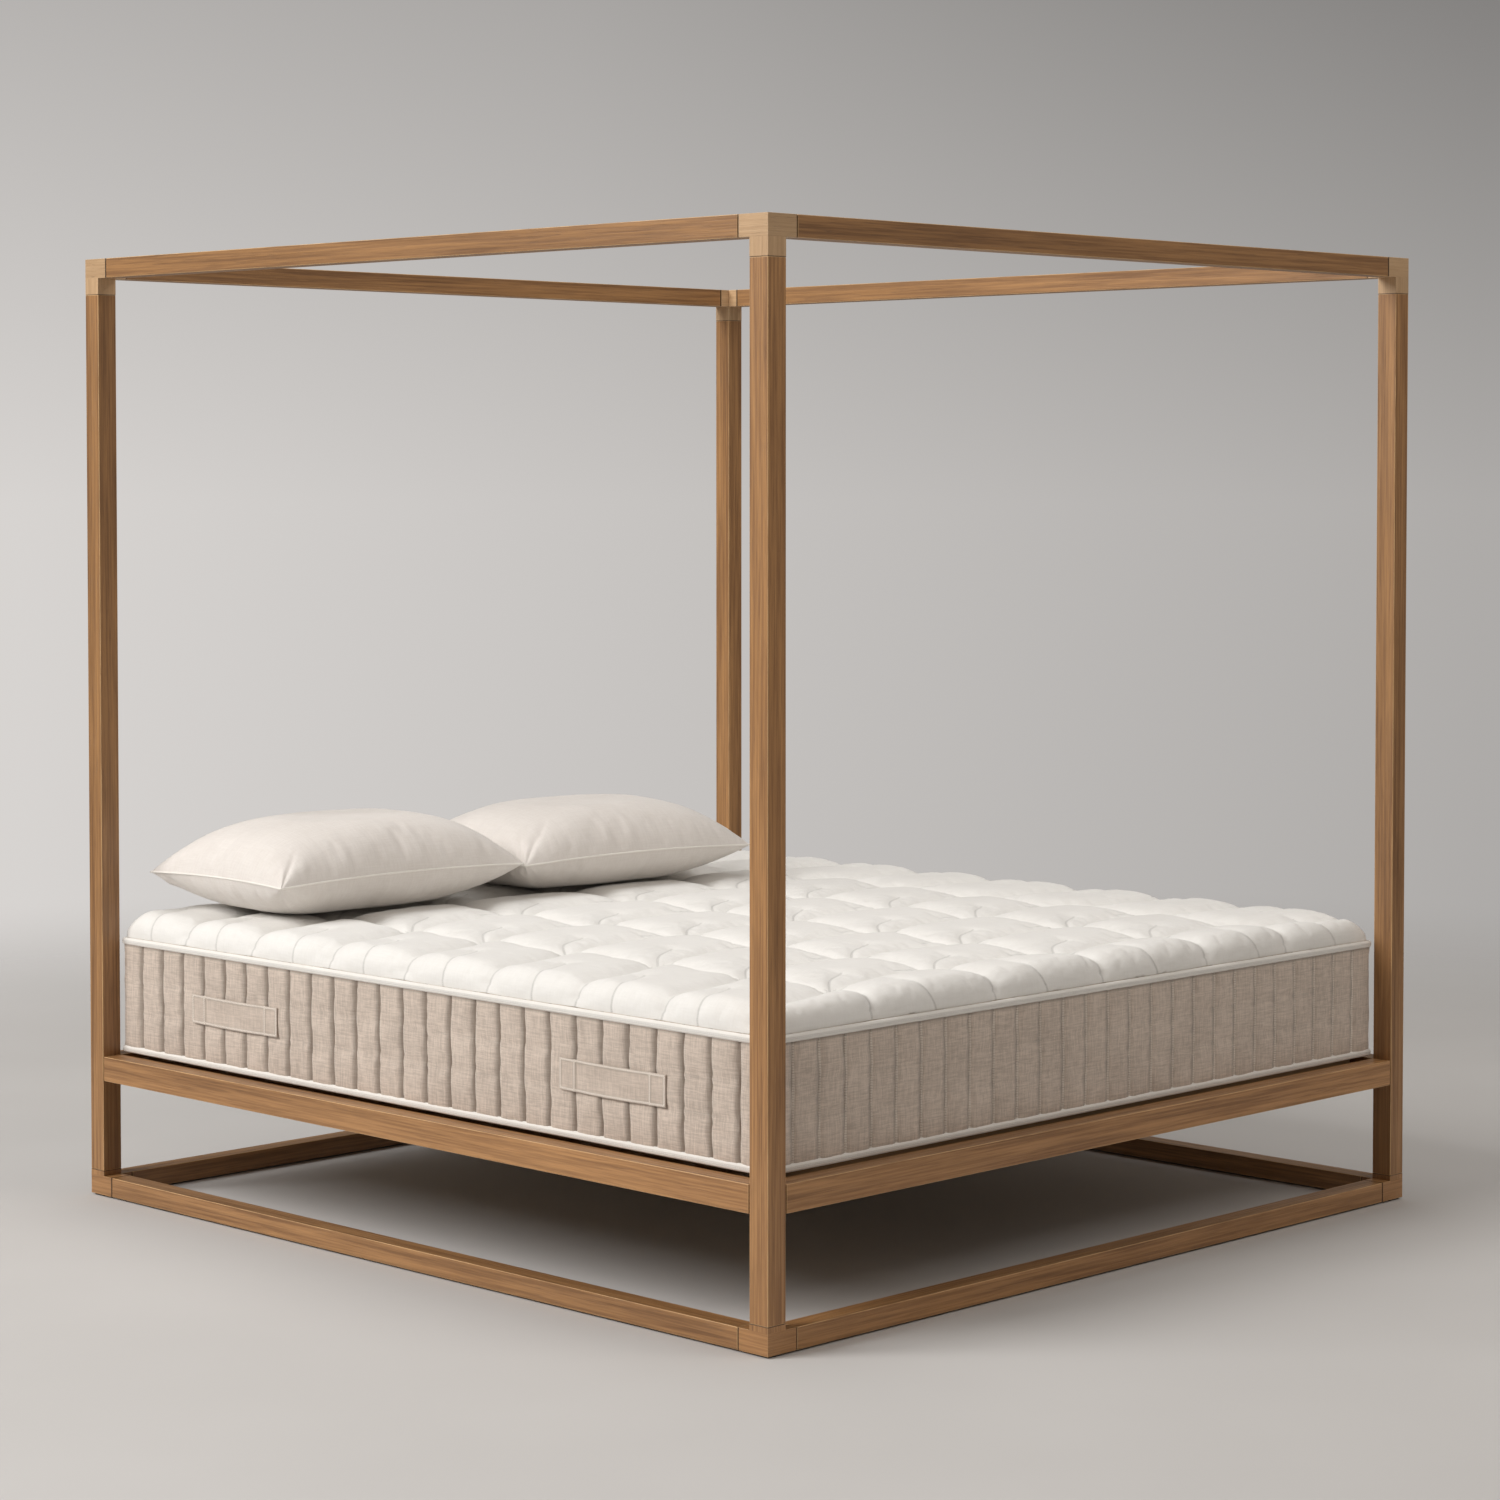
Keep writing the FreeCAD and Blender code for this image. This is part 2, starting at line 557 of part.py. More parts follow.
def make_ledgers():
    """A ledger on the inner face of each side rail, screwed through its thickness between the slats."""
    run = f"({INNER_LENGTH} - 2 * ledger_end_gap)"
    screw = make_screw("ledger_screw", "ledger_screw_length")
    hole = make_screw_hole("ledger_hole", "ledger_width")
    inner = number(f"{INNER_WIDTH} / 2 - ledger_width")
    height = number(f"{SLAT_Z} - ledger_height / 2")
    first = number(f"-{INNER_LENGTH} / 2 + slat_margin + slat_width / 2 + {SLAT_PITCH} / 2")
    spots = [first + i * number(SLAT_PITCH) for i in range(0, int(number("slat_count")) - 1, 2)]
    every_screw = []
    for side, way, x in (("left", -1, f"-{INNER_WIDTH} / 2"),
                         ("right", 1, f"{INNER_WIDTH} / 2 - ledger_width")):
        body = padded_body("ledger", rectangle("ledger_width", run), "ledger_height")
        ease(body, "timber_ease")
        place(body, x, f"-{run} / 2", f"{SLAT_Z} - ledger_height")
        heads = [turned(way * inner, y, height, -90 * way, Vector(0, 1, 0)) for y in spots]
        keep(cut("ledger_drilled", body, copies("ledger_holes", hole, heads)), "ledger_" + side)
        every_screw += heads
    keep(copies("ledger_screws", screw, every_screw), "ledger_screws")


def make_slats():
    """Evenly spaced slats across the bed, each screwed down to both ledgers."""
    run = f"({INNER_WIDTH} - 2 * slat_end_gap)"
    screw = make_screw("slat_screw", "slat_screw_length")
    hole = make_screw_hole("slat_hole", "slat_thickness")
    every_screw = []
    for i in range(int(number("slat_count"))):
        y = f"(-{INNER_LENGTH} / 2 + slat_margin + {i} * {SLAT_PITCH})"
        body = padded_body("slat", rectangle(run, "slat_width"), "slat_thickness")
        ease(body, "slat_ease")
        place(body, f"-{run} / 2", y, SLAT_Z)
        top, middle = number(f"{SLAT_Z} + slat_thickness"), number(f"{y} + slat_width / 2")
        heads = [turned(way * number(SLAT_SCREW_X), middle, top) for way in (-1, 1)]
        keep(cut("slat_drilled", body, copies("slat_holes", hole, heads)), f"slat_{i + 1:02d}")
        every_screw += heads
    keep(copies("slat_screws", screw, every_screw), "slat_screws")


# ---------------------------------------------------------------- mattress

def is_upright(edge, shape):
    return abs(edge.tangentAt(edge.FirstParameter).z) > 0.99


def is_top(edge, shape):
    top = max(vertex.Point.z for vertex in shape.Vertexes)
    return all(top - vertex.Point.z < 1e-6 for vertex in edge.Vertexes)


def rounded_block(name, inset, height, z, corner="mattress_corner"):
    """A block of the mattress's outline, drawn in by inset, with its upright edges rounded."""
    width, length = f"(mattress_width - 2 * ({inset}))", f"(mattress_length - 2 * ({inset}))"
    body = padded_body(name, rectangle(width, length), height)
    ease(body, f"{corner} - ({inset})", is_upright)
    place(body, f"-{width} / 2", f"-{length} / 2", z)
    return body


def ring(name, outer_inset, inner_inset, height, z):
    """A band that runs round the mattress between two insets."""
    outer = rounded_block(name + "_outer", outer_inset, height, z)
    inner = rounded_block(name + "_inner", inner_inset, f"{height} + 2", f"{z} - 1")
    return cut(name, outer, inner)


def make_mattress():
    """Core, side border, base and top panels, edge tapes and handles."""
    inside = "tape_proud + border_thickness"
    core = rounded_block("core", inside, "border_height - base_panel", f"{MATTRESS_Z} + base_panel")
    keep(core, "mattress_core")
    keep(ring("border", "tape_proud", inside, "border_height", MATTRESS_Z), "mattress_border")
    keep(rounded_block("base", inside, "base_panel", MATTRESS_Z), "mattress_base_panel")

    dome = rounded_block("dome", "tape_proud", "dome_height", f"{MATTRESS_Z} + border_height", "dome_corner")
    ease(dome, "dome_edge", is_top)
    keep(dome, "mattress_top_panel")

    top_tape_z = f"{MATTRESS_Z} + border_height - tape_height"
    keep(ring("top_tape", "0", "tape_proud", "tape_height", top_tape_z), "mattress_tape_top")
    keep(ring("bottom_tape", "0", "tape_proud", "tape_height", MATTRESS_Z), "mattress_tape_bottom")

    border_face = "(mattress_width / 2 - tape_proud)"
    straps = [
        block("handle", "handle_thickness", "handle_length", "handle_height", x,
              f"{way} * handle_spread / 2 - handle_length / 2",
              f"{MATTRESS_Z} + handle_centre - handle_height / 2")
        for x in (f"-{border_face} - handle_thickness", border_face)
        for way in (-1, 1)
    ]
    keep(joined("handles", straps, "Part::Compound"), "mattress_handles")


# ---------------------------------------------------------------- pillows

def make_pillow(name, x, y, turn):
    """A crowned pillow: widest at its seam, drawn in to a flat underside and a flat crown."""
    levels = [
        ("0", "pillow_foot_inset"),
        ("pillow_seam", "0"),
        ("pillow_shoulder", "pillow_shoulder_inset"),
        ("pillow_loft", "pillow_crown_inset"),
    ]
    upright = FreeCAD.Rotation(Vector(1, 0, 0), 90)
    layers = []
    for (low, low_inset), (high, high_inset) in zip(levels, levels[1:]):
        layer = doc.addObject("Part::Wedge", name + "_layer")
        bind(layer, Ymin="0", Ymax=f"{high} - {low}")
        bind(layer, Xmin=f"-pillow_width / 2 + {low_inset}", Xmax=f"pillow_width / 2 - {low_inset}",
             X2min=f"-pillow_width / 2 + {high_inset}", X2max=f"pillow_width / 2 - {high_inset}")
        bind(layer, Zmin=f"-pillow_depth / 2 + {low_inset}", Zmax=f"pillow_depth / 2 - {low_inset}",
             Z2min=f"-pillow_depth / 2 + {high_inset}", Z2max=f"pillow_depth / 2 - {high_inset}")
        place(layer, x, y, f"{MATTRESS_Z} + border_height + dome_height + soft_gap + {low}", turn)
        layer.Placement.Rotation = layer.Placement.Rotation.multiply(upright)
        layers.append(layer)
    keep(joined(name, layers), name)


def make_pillows():
    """Two pillows side by side at the head, the right one turned a little and just clear of the left."""
    left_x = "(-mattress_width / 2 + pillow_side_margin + pillow_width / 2)"
    left_y = "(mattress_length / 2 - pillow_head_margin - pillow_depth / 2)"
    reach = "(pillow_width * cos(pillow_turn * 1 deg) + pillow_depth * sin(pillow_turn * 1 deg)) / 2"
    make_pillow("pillow_left", left_x, left_y, 0)
    make_pillow("pillow_right", f"{left_x} + pillow_width / 2 + {reach} + pillow_gap",
                f"{left_y} - pillow_step", -number("pillow_turn"))


# ---------------------------------------------------------------- checks and export

def check():
    """Stop if any object failed, a cut removed nothing, or a sub-part isn't sound."""
    doc.recompute()
    for thing in doc.Objects:
        if "Invalid" in thing.State or "Error" in thing.State:
            raise RuntimeError(f"{thing.Label} failed: {thing.State}")
        whole = thing.Base if thing.TypeId == "Part::Cut" else getattr(thing, "BaseFeature", None)
        if thing.TypeId == "Part::Cut" or thing.TypeId.startswith("PartDesign::Subtractive"):
            if thing.Shape.Volume >= whole.Shape.Volume - 1:
                raise RuntimeError(f"{thing.Label} cuts nothing")
    for node in nodes:
        if node.Shape.isNull() or not node.Shape.isValid() or not node.Shape.Solids:
            raise RuntimeError(f"{node.Label} isn't a sound solid")


def export():
    os.makedirs("parts", exist_ok=True)
    for node in nodes:
        node.Shape.exportStep(f"parts/{node.Label}.step")
        print(f"{node.Label:26s} {len(node.Shape.Solids):3d} solids {node.Shape.Volume / 1e6:9.3f} litres")
    print(len(nodes), "nodes")


def build():
    for corner in CORNERS:
        make_post(corner)
        make_top_connector(corner)
        make_base_connector(corner)
    for side in SIDES:
        make_connected_rail("canopy_rail", side, "canopy_rail_height", CANOPY_Z)
        make_connected_rail("base_rail", side, "base_rail_height", "glide_height")
        make_bed_rail(side)
    make_tenons("canopy_tenons", "canopy_rail_height", CANOPY_Z,
                f"{CANOPY_Z} - top_leg - post_bite", f"{CANOPY_Z} + corner_bite")
    make_tenons("base_tenons", "base_rail_height", "glide_height",
                f"{POST_Z} - base_leg - corner_bite", f"{POST_Z} + post_bite")
    make_glides()
    plate_hole = make_screw_hole("plate_hole", "plate_thickness")
    plate_screw = make_screw("plate_screw", "plate_screw_length")
    heads = make_brackets(plate_hole)
    heads += make_centre_beam(plate_hole)
    keep(copies("plate_screws", plate_screw, heads), "plate_screws")
    make_ledgers()
    make_slats()
    make_mattress()
    make_pillows()
    check()
    export()


build()
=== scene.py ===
import math
import random

import bpy
from mathutils import Matrix, Vector, kdtree, noise


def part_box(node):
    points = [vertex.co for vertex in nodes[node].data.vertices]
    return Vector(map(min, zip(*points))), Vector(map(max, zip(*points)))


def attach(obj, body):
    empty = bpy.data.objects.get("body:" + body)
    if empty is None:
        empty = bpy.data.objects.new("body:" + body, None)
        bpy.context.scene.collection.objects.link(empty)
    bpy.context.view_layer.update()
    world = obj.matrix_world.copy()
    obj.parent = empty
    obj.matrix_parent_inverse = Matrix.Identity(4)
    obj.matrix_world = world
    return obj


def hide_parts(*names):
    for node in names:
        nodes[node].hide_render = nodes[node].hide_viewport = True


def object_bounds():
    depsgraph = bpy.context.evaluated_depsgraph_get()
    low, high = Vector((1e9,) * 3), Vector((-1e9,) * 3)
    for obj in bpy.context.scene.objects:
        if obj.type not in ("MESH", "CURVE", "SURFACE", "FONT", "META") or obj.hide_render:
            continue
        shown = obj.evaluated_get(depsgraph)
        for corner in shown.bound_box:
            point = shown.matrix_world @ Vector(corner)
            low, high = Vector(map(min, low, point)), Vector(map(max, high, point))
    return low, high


# Four poster canopy bed with a quilted mattress and two feather pillows. Metres, floor at z = 0,
# the head towards +Y and the right side, for someone at the foot facing the head, towards +X.

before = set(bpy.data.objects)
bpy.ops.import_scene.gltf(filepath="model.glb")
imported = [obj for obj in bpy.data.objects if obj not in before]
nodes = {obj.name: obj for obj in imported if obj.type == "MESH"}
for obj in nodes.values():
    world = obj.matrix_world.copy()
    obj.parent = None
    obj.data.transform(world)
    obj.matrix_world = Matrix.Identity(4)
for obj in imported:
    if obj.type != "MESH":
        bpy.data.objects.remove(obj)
cad_box = [list(corner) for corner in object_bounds()]
scene = bpy.context.scene

# Where things are, from the frame.
FRAME_HIGH = Vector(cad_box[1])
TAPE_LOW, TAPE_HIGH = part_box("mattress_tape_top")
BASE_TAPE_LOW, BASE_TAPE_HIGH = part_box("mattress_tape_bottom")
BORDER_LOW, BORDER_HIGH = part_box("mattress_border")
TOP_LOW, TOP_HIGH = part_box("mattress_top_panel")
BASE_LOW, BASE_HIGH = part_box("mattress_base_panel")
POST_LOW, POST_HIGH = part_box("post_foot_left")
CANOPY_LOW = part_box("canopy_rail_left")[0]
BASE_RAIL_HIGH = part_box("base_rail_left")[1]
HALF_X, HALF_Y = TAPE_HIGH.x, TAPE_HIGH.y
# Corner radii seen from above: the tapes' and the quilted top's.
CORNER = 0.010
TOP_CORNER = 0.054
POST_SIDE = POST_HIGH.x - POST_LOW.x


# ---------------- bench tools

def clear_bench():
    """Leave edit mode and select nothing."""
    if bpy.context.object and bpy.context.object.mode != "OBJECT":
        bpy.ops.object.mode_set(mode="OBJECT")
    bpy.ops.object.select_all(action="DESELECT")


def take(piece):
    """Select one piece alone and make it the active one."""
    clear_bench()
    piece.select_set(True)
    bpy.context.view_layer.objects.active = piece
    return piece


def added(name):
    """Name the piece that an operator has just added."""
    piece = bpy.context.object
    piece.name = piece.data.name = name
    return piece


def settle(piece):
    """Put a piece's place, turn and size into its mesh."""
    take(piece)
    bpy.ops.object.transform_apply(location=True, rotation=True, scale=True)


def finish_with(piece, kind, **settings):
    """Add one modifier and apply it."""
    take(piece)
    modifier = piece.modifiers.new(kind.lower(), kind)
    for name, value in settings.items():
        setattr(modifier, name, value)
    bpy.ops.object.modifier_apply(modifier=modifier.name)


def weld_and_face_out(piece, distance=1e-5):
    """Merge doubled points and turn every face outwards."""
    take(piece)
    bpy.ops.object.mode_set(mode="EDIT")
    bpy.ops.mesh.select_all(action="SELECT")
    bpy.ops.mesh.remove_doubles(threshold=distance)
    bpy.ops.mesh.normals_make_consistent(inside=False)
    bpy.ops.object.mode_set(mode="OBJECT")


def smooth(piece, degrees=180):
    """Shade smooth, apart from edges sharper than an angle."""
    take(piece)
    bpy.ops.object.shade_smooth_by_angle(angle=math.radians(degrees))


def finish_in(piece, material, degrees=180):
    """Weld a finished piece, shade it and give it its material alone."""
    weld_and_face_out(piece, 1e-6)
    smooth(piece, degrees)
    piece.data.materials.clear()
    piece.data.materials.append(material)


def fold(t):
    """0 at both ends and 1 in the middle of 0 to 1."""
    return 1 - abs(2 * t - 1)


def cloth_grid(name, columns, rows, place, measure):
    """A cloth laid out as a grid, with each crossing put in its place.

    place(i, j) gives the point of a crossing and measure(i, j) its place on the flat cloth in metres,
    which becomes the UV map that the weave follows.
    """
    clear_bench()
    bpy.ops.mesh.primitive_grid_add(x_subdivisions=columns, y_subdivisions=rows, size=2)
    cloth = added(name)
    spots = []
    for vertex in cloth.data.vertices:
        i = round((vertex.co.x + 1) / 2 * columns)
        j = round((vertex.co.y + 1) / 2 * rows)
        spots.append((i, j))
        vertex.co = place(i, j)
    layer = cloth.data.uv_layers[0]
    layer.name = "cloth"
    flat = [measure(i, j) for i, j in spots]
    for loop in cloth.data.loops:
        layer.data[loop.index].uv = flat[loop.vertex_index]
    return cloth, spots


def inflate(cover, held, pressure, slack, steps, most, stiffness=18, bending=0.06):
    """Blow a sewn cover up against what holds it, and keep every point within `most` of its start.

    held gives each vertex's hold, from 0, free, to 1, stitched down. slack is the spare cloth, as a share.
    """
    take(cover)
    was = [vertex.co.copy() for vertex in cover.data.vertices]
    stitched = cover.vertex_groups.new(name="stitched")
    for index, hold in enumerate(held):
        if hold > 0:
            stitched.add([index], hold, "REPLACE")
    cloth = cover.modifiers.new("cloth", "CLOTH")
    settings = cloth.settings
    settings.vertex_group_mass = "stitched"
    settings.quality = 5
    settings.mass = 0.2
    settings.tension_stiffness = settings.compression_stiffness = stiffness
    settings.shear_stiffness = stiffness / 3
    settings.bending_stiffness = bending
    settings.use_pressure = True
    settings.uniform_pressure_force = pressure
    settings.shrink_min = -slack
    settings.effector_weights.gravity = 0
    cloth.collision_settings.use_collision = False
    cloth.collision_settings.use_self_collision = False
    cloth.point_cache.frame_start = 1
    cloth.point_cache.frame_end = steps
    for step in range(1, steps + 1):
        scene.frame_set(step)
    bpy.ops.object.modifier_apply(modifier="cloth")
    scene.frame_set(1)
    cover.vertex_groups.clear()
    for vertex, start in zip(cover.data.vertices, was):
        move = vertex.co - start
        if move.length > 1e-7:
            vertex.co = start + move.normalized() * most * math.tanh(move.length / most)


def follow(piece, body, *stands_for, slot=None, fill=None):
    """Hang a piece on the body it rides on and hide the nodes it stands for. Its finish, given as slot and
    fill, is not used.
    """
    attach(piece, body)
    if stands_for:
        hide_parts(*stands_for)


# ---------------- shader node groups

def group(name, inputs, outputs):
    """A new shader node group with named sockets. Returns the tree, its input node and its output node."""
    tree = bpy.data.node_groups.new(name, "ShaderNodeTree")
    for label, kind, value in inputs:
        socket = tree.interface.new_socket(label, in_out="INPUT", socket_type="NodeSocket" + kind)
        if value is not None:
            socket.default_value = value
    for label, kind in outputs:
        tree.interface.new_socket(label, in_out="OUTPUT", socket_type="NodeSocket" + kind)
    return tree, tree.nodes.new("NodeGroupInput"), tree.nodes.new("NodeGroupOutput")


def wire(tree, source, target):
    """Join a socket, or set a plain value, to an input."""
    if hasattr(source, "is_linked"):
        tree.links.new(source, target)
    else:
        target.default_value = source


def math_node(tree, operation, a, b=0.0, c=0.0, clamp=False):
    """One sum on sockets or plain values."""
    node = tree.nodes.new("ShaderNodeMath")
    node.operation = operation
    node.use_clamp = clamp
    for socket, value in zip(node.inputs, (a, b, c)):
        wire(tree, value, socket)
    return node.outputs[0]


def ramp(tree, value, low, high, to_low=0.0, to_high=1.0, smooth_step=True):
    """Map low..high to to_low..to_high, clamped."""
    node = tree.nodes.new("ShaderNodeMapRange")
    node.interpolation_type = "SMOOTHSTEP" if smooth_step else "LINEAR"
    for label, what in (("Value", value), ("From Min", low), ("From Max", high),
                        ("To Min", to_low), ("To Max", to_high)):
        wire(tree, what, node.inputs[label])
    return node.outputs[0]


def split(tree, vector):
    """A vector's three parts."""
    node = tree.nodes.new("ShaderNodeSeparateXYZ")
    wire(tree, vector, node.inputs[0])
    return node.outputs


def scaled(tree, vector, factor):
    """A vector or a colour times one factor."""
    node = tree.nodes.new("ShaderNodeVectorMath")
    node.operation = "SCALE"
    wire(tree, vector, node.inputs[0])
    wire(tree, factor, node.inputs["Scale"])
    return node.outputs[0]


def one_or_other(tree, share, first, second):
    """The first of two vectors where share is 0, and the second where it is 1."""
    node = tree.nodes.new("ShaderNodeMix")
    node.data_type = "VECTOR"
    for socket, value in zip((0, 4, 5), (share, first, second)):
        wire(tree, value, node.inputs[socket])
    return node.outputs[1]


def stretched(tree, vector, scale):
    """A vector times three factors."""
    node = tree.nodes.new("ShaderNodeVectorMath")
    node.operation = "MULTIPLY"
    wire(tree, vector, node.inputs[0])
    node.inputs[1].default_value = scale
    return node.outputs[0]


def grainy(tree, vector, scale, detail=2.0, rough=0.5, twist=0.0):
    """Noise on a stretched vector."""
    node = tree.nodes.new("ShaderNodeTexNoise")
    wire(tree, stretched(tree, vector, scale), node.inputs["Vector"])
    node.inputs["Scale"].default_value = 1.0
    node.inputs["Detail"].default_value = detail
    node.inputs["Roughness"].default_value = rough
    node.inputs["Distortion"].default_value = twist
    return node.outputs["Fac"]


def mixed(tree, share, first, second):
    """Mix two colours."""
    node = tree.nodes.new("ShaderNodeMix")
    node.data_type = "RGBA"
    wire(tree, share, node.inputs[0])
    wire(tree, first, node.inputs[6])
    wire(tree, second, node.inputs[7])
    return node.outputs[2]


def place_group(material, tree, **values):
    """Use a node group in a material. Underscores in the names stand for spaces."""
    node = material.node_tree.nodes.new("ShaderNodeGroup")
    node.node_tree = tree
    for name, value in values.items():
        wire(material.node_tree, value, node.inputs[name.replace("_", " ")])
    return node.outputs


def make_grain_group():
    """Straight-grained timber. The vector runs along the grain in X."""
    tree, inside, outside = group(
        "timber grain",
        [("Vector", "Vector", None), ("Light", "Color", (0.4, 0.2, 0.1, 1)),
         ("Dark", "Color", (0.2, 0.1, 0.05, 1)), ("Fineness", "Float", 1.0), ("Contrast", "Float", 1.0)],
        [("Color", "Color"), ("Roughness", "Float"), ("Height", "Float")])
    vector = scaled(tree, inside.outputs["Vector"], inside.outputs["Fineness"])
    figure = ramp(tree, grainy(tree, vector, (1.6, 42, 42), 3, 0.55, 0.5), 0.3, 0.7)
    streak = ramp(tree, grainy(tree, vector, (4.0, 190, 190), 3, 0.65), 0.34, 0.66)
    fibre = grainy(tree, vector, (26, 900, 900), 2, 0.6)
    pore = ramp(tree, grainy(tree, vector, (17, 760, 760), 1, 0.5), 0.62, 0.76)
    plank = grainy(tree, vector, (0.35, 2.6, 2.6), 1, 0.5)
    tone = math_node(tree, "MULTIPLY_ADD", figure, 0.40, math_node(tree, "MULTIPLY", streak, 0.50))
    tone = math_node(tree, "MULTIPLY_ADD", fibre, 0.30, tone)
    tone = math_node(tree, "SUBTRACT", tone, 0.56)
    tone = math_node(tree, "MULTIPLY_ADD", tone, inside.outputs["Contrast"], 0.5, clamp=True)
    colour = mixed(tree, tone, inside.outputs["Dark"], inside.outputs["Light"])
    shade = ramp(tree, plank, 0.3, 0.7, 0.86, 1.1)
    shade = math_node(tree, "SUBTRACT", shade, math_node(tree, "MULTIPLY", pore, 0.24))
    wire(tree, scaled(tree, colour, shade), outside.inputs["Color"])
    dull = math_node(tree, "MULTIPLY_ADD", pore, 0.2, 0.47)
    wire(tree, math_node(tree, "MULTIPLY_ADD", streak, -0.1, dull), outside.inputs["Roughness"])
    height = math_node(tree, "MULTIPLY_ADD", streak, 0.4, math_node(tree, "MULTIPLY", fibre, 0.3))
    height = math_node(tree, "SUBTRACT", height, math_node(tree, "MULTIPLY", pore, 0.8))
    wire(tree, height, outside.inputs["Height"])
    return tree


def make_arris_group():
    """Marks the eased edges of a square piece, painted lighter: partly rubbed finish and partly a painted
    highlight where the edges catch the light.
    """
    tree, inside, outside = group("arris wear and painted highlight", [("Vector", "Vector", None)], [("Mask", "Float")])
    facing = split(tree, tree.nodes.new("ShaderNodeTexCoord").outputs["Normal"])
    across = [math_node(tree, "ABSOLUTE", part) for part in facing]
    most = math_node(tree, "MAXIMUM", math_node(tree, "MAXIMUM", across[0], across[1]), across[2])
    edge = ramp(tree, most, 0.995, 0.93, 0.0, 1.0)
    uneven = ramp(tree, grainy(tree, inside.outputs["Vector"], (9, 9, 9), 3, 0.6), 0.3, 0.6, 0.35, 1.0)
    wire(tree, math_node(tree, "MULTIPLY", edge, uneven), outside.inputs["Mask"])
    return tree


def make_weave_group():
    """A plain weave of uneven threads on a flat measure of the cloth."""
    tree, inside, outside = group(
        "plain weave",
        [("Vector", "Vector", None), ("Thread", "Float", 0.001), ("Light", "Color", (0.8, 0.8, 0.8, 1)),
         ("Dark", "Color", (0.6, 0.6, 0.6, 1)), ("Slub", "Float", 0.5)],
        [("Color", "Color"), ("Height", "Float")])
    flat = inside.outputs["Vector"]
    turns = math_node(tree, "DIVIDE", math.pi, inside.outputs["Thread"])
    warp, weft = [math_node(tree, "SINE", math_node(tree, "MULTIPLY", part, turns))
                  for part in split(tree, flat)[:2]]
    over = ramp(tree, math_node(tree, "MULTIPLY", warp, weft), -0.15, 0.15)
    threads = tree.nodes.new("ShaderNodeMix")
    wire(tree, over, threads.inputs[0])
    wire(tree, math_node(tree, "ABSOLUTE", warp), threads.inputs[2])
    wire(tree, math_node(tree, "ABSOLUTE", weft), threads.inputs[3])
    fine = math_node(tree, "ADD", grainy(tree, flat, (38, 620, 1), 3, 0.65),
                     grainy(tree, flat, (620, 38, 1), 3, 0.65))
    thick = math_node(tree, "ADD", grainy(tree, flat, (16, 230, 1), 2, 0.6),
                      grainy(tree, flat, (230, 16, 1), 2, 0.6))
    slub = ramp(tree, math_node(tree, "MULTIPLY_ADD", thick, 0.8, fine), 1.45, 2.15)
    cloud = ramp(tree, grainy(tree, flat, (9, 9, 1), 3, 0.55), 0.3, 0.7)
    tone = math_node(tree, "MULTIPLY_ADD", threads.outputs[0], 0.3, math_node(tree, "MULTIPLY", cloud, 0.2))
    tone = math_node(tree, "MULTIPLY_ADD", slub, inside.outputs["Slub"], tone, clamp=True)
    wire(tree, mixed(tree, tone, inside.outputs["Dark"], inside.outputs["Light"]), outside.inputs["Color"])
    wire(tree, math_node(tree, "MULTIPLY_ADD", slub, 0.6, threads.outputs[0]), outside.inputs["Height"])
    return tree


def make_stitch_group():
    """A row of stitches: a sunk line with raised dashes of thread, from a distance and a run, in metres."""
    tree, inside, outside = group(
        "stitch row",
        [("Distance", "Float", 1.0), ("Run", "Float", 0.0), ("Pitch", "Float", 0.005),
         ("Width", "Float", 0.0006)],
        [("Thread", "Float"), ("Sink", "Float")])
    width = inside.outputs["Width"]
    line = ramp(tree, inside.outputs["Distance"], math_node(tree, "MULTIPLY", width, 1.5), width, 0.0, 1.0)
    step = math_node(tree, "FRACT", math_node(tree, "DIVIDE", inside.outputs["Run"], inside.outputs["Pitch"]))
    from_middle = math_node(tree, "ABSOLUTE", math_node(tree, "SUBTRACT", step, 0.5))
    dash = ramp(tree, from_middle, 0.42, 0.34, 0.0, 1.0)
    wire(tree, math_node(tree, "MULTIPLY", line, dash), outside.inputs["Thread"])
    # Sink spreads seven widths to each side; the cloth uses it for a hollow and for painted shade.
    wire(tree, ramp(tree, inside.outputs["Distance"], math_node(tree, "MULTIPLY", width, 7.0), 0.0, 0.0, 1.0),
         outside.inputs["Sink"])
    return tree


GRAIN = make_grain_group()
ARRIS = make_arris_group()
WEAVE = make_weave_group()
STITCH = make_stitch_group()


# ---------------- materials

def new_material(name, roughness=0.6, sheen=0.0, coat=0.0):
    """A material with its constants on the shader's own sockets. Returns it, its tree and its shader."""
    material = bpy.data.materials.new(name)
    material.use_nodes = True
    shader = material.node_tree.nodes["Principled BSDF"]
    shader.inputs["Roughness"].default_value = roughness
    shader.inputs["Sheen Weight"].default_value = sheen
    shader.inputs["Sheen Roughness"].default_value = 0.5
    shader.inputs["Coat Weight"].default_value = coat
    shader.inputs["Coat Roughness"].default_value = 0.35
    return material, material.node_tree, shader


def bump(tree, shader, height, distance):
    """Raise and sink the surface by a height times a distance in metres."""
    node = tree.nodes.new("ShaderNodeBump")
    node.inputs["Strength"].default_value = 1.0
    node.inputs["Distance"].default_value = distance
    wire(tree, height, node.inputs["Height"])
    wire(tree, node.outputs["Normal"], shader.inputs["Normal"])


def object_vector(tree):
    return tree.nodes.new("ShaderNodeTexCoord").outputs["Object"]


def turned_vector(tree, degrees):
    """Object coordinates turned so that their X runs along a piece's grain."""
    mapping = tree.nodes.new("ShaderNodeMapping")
    wire(tree, object_vector(tree), mapping.inputs["Vector"])
    mapping.inputs["Rotation"].default_value = [math.radians(angle) for angle in degrees]
    return mapping.outputs[0]


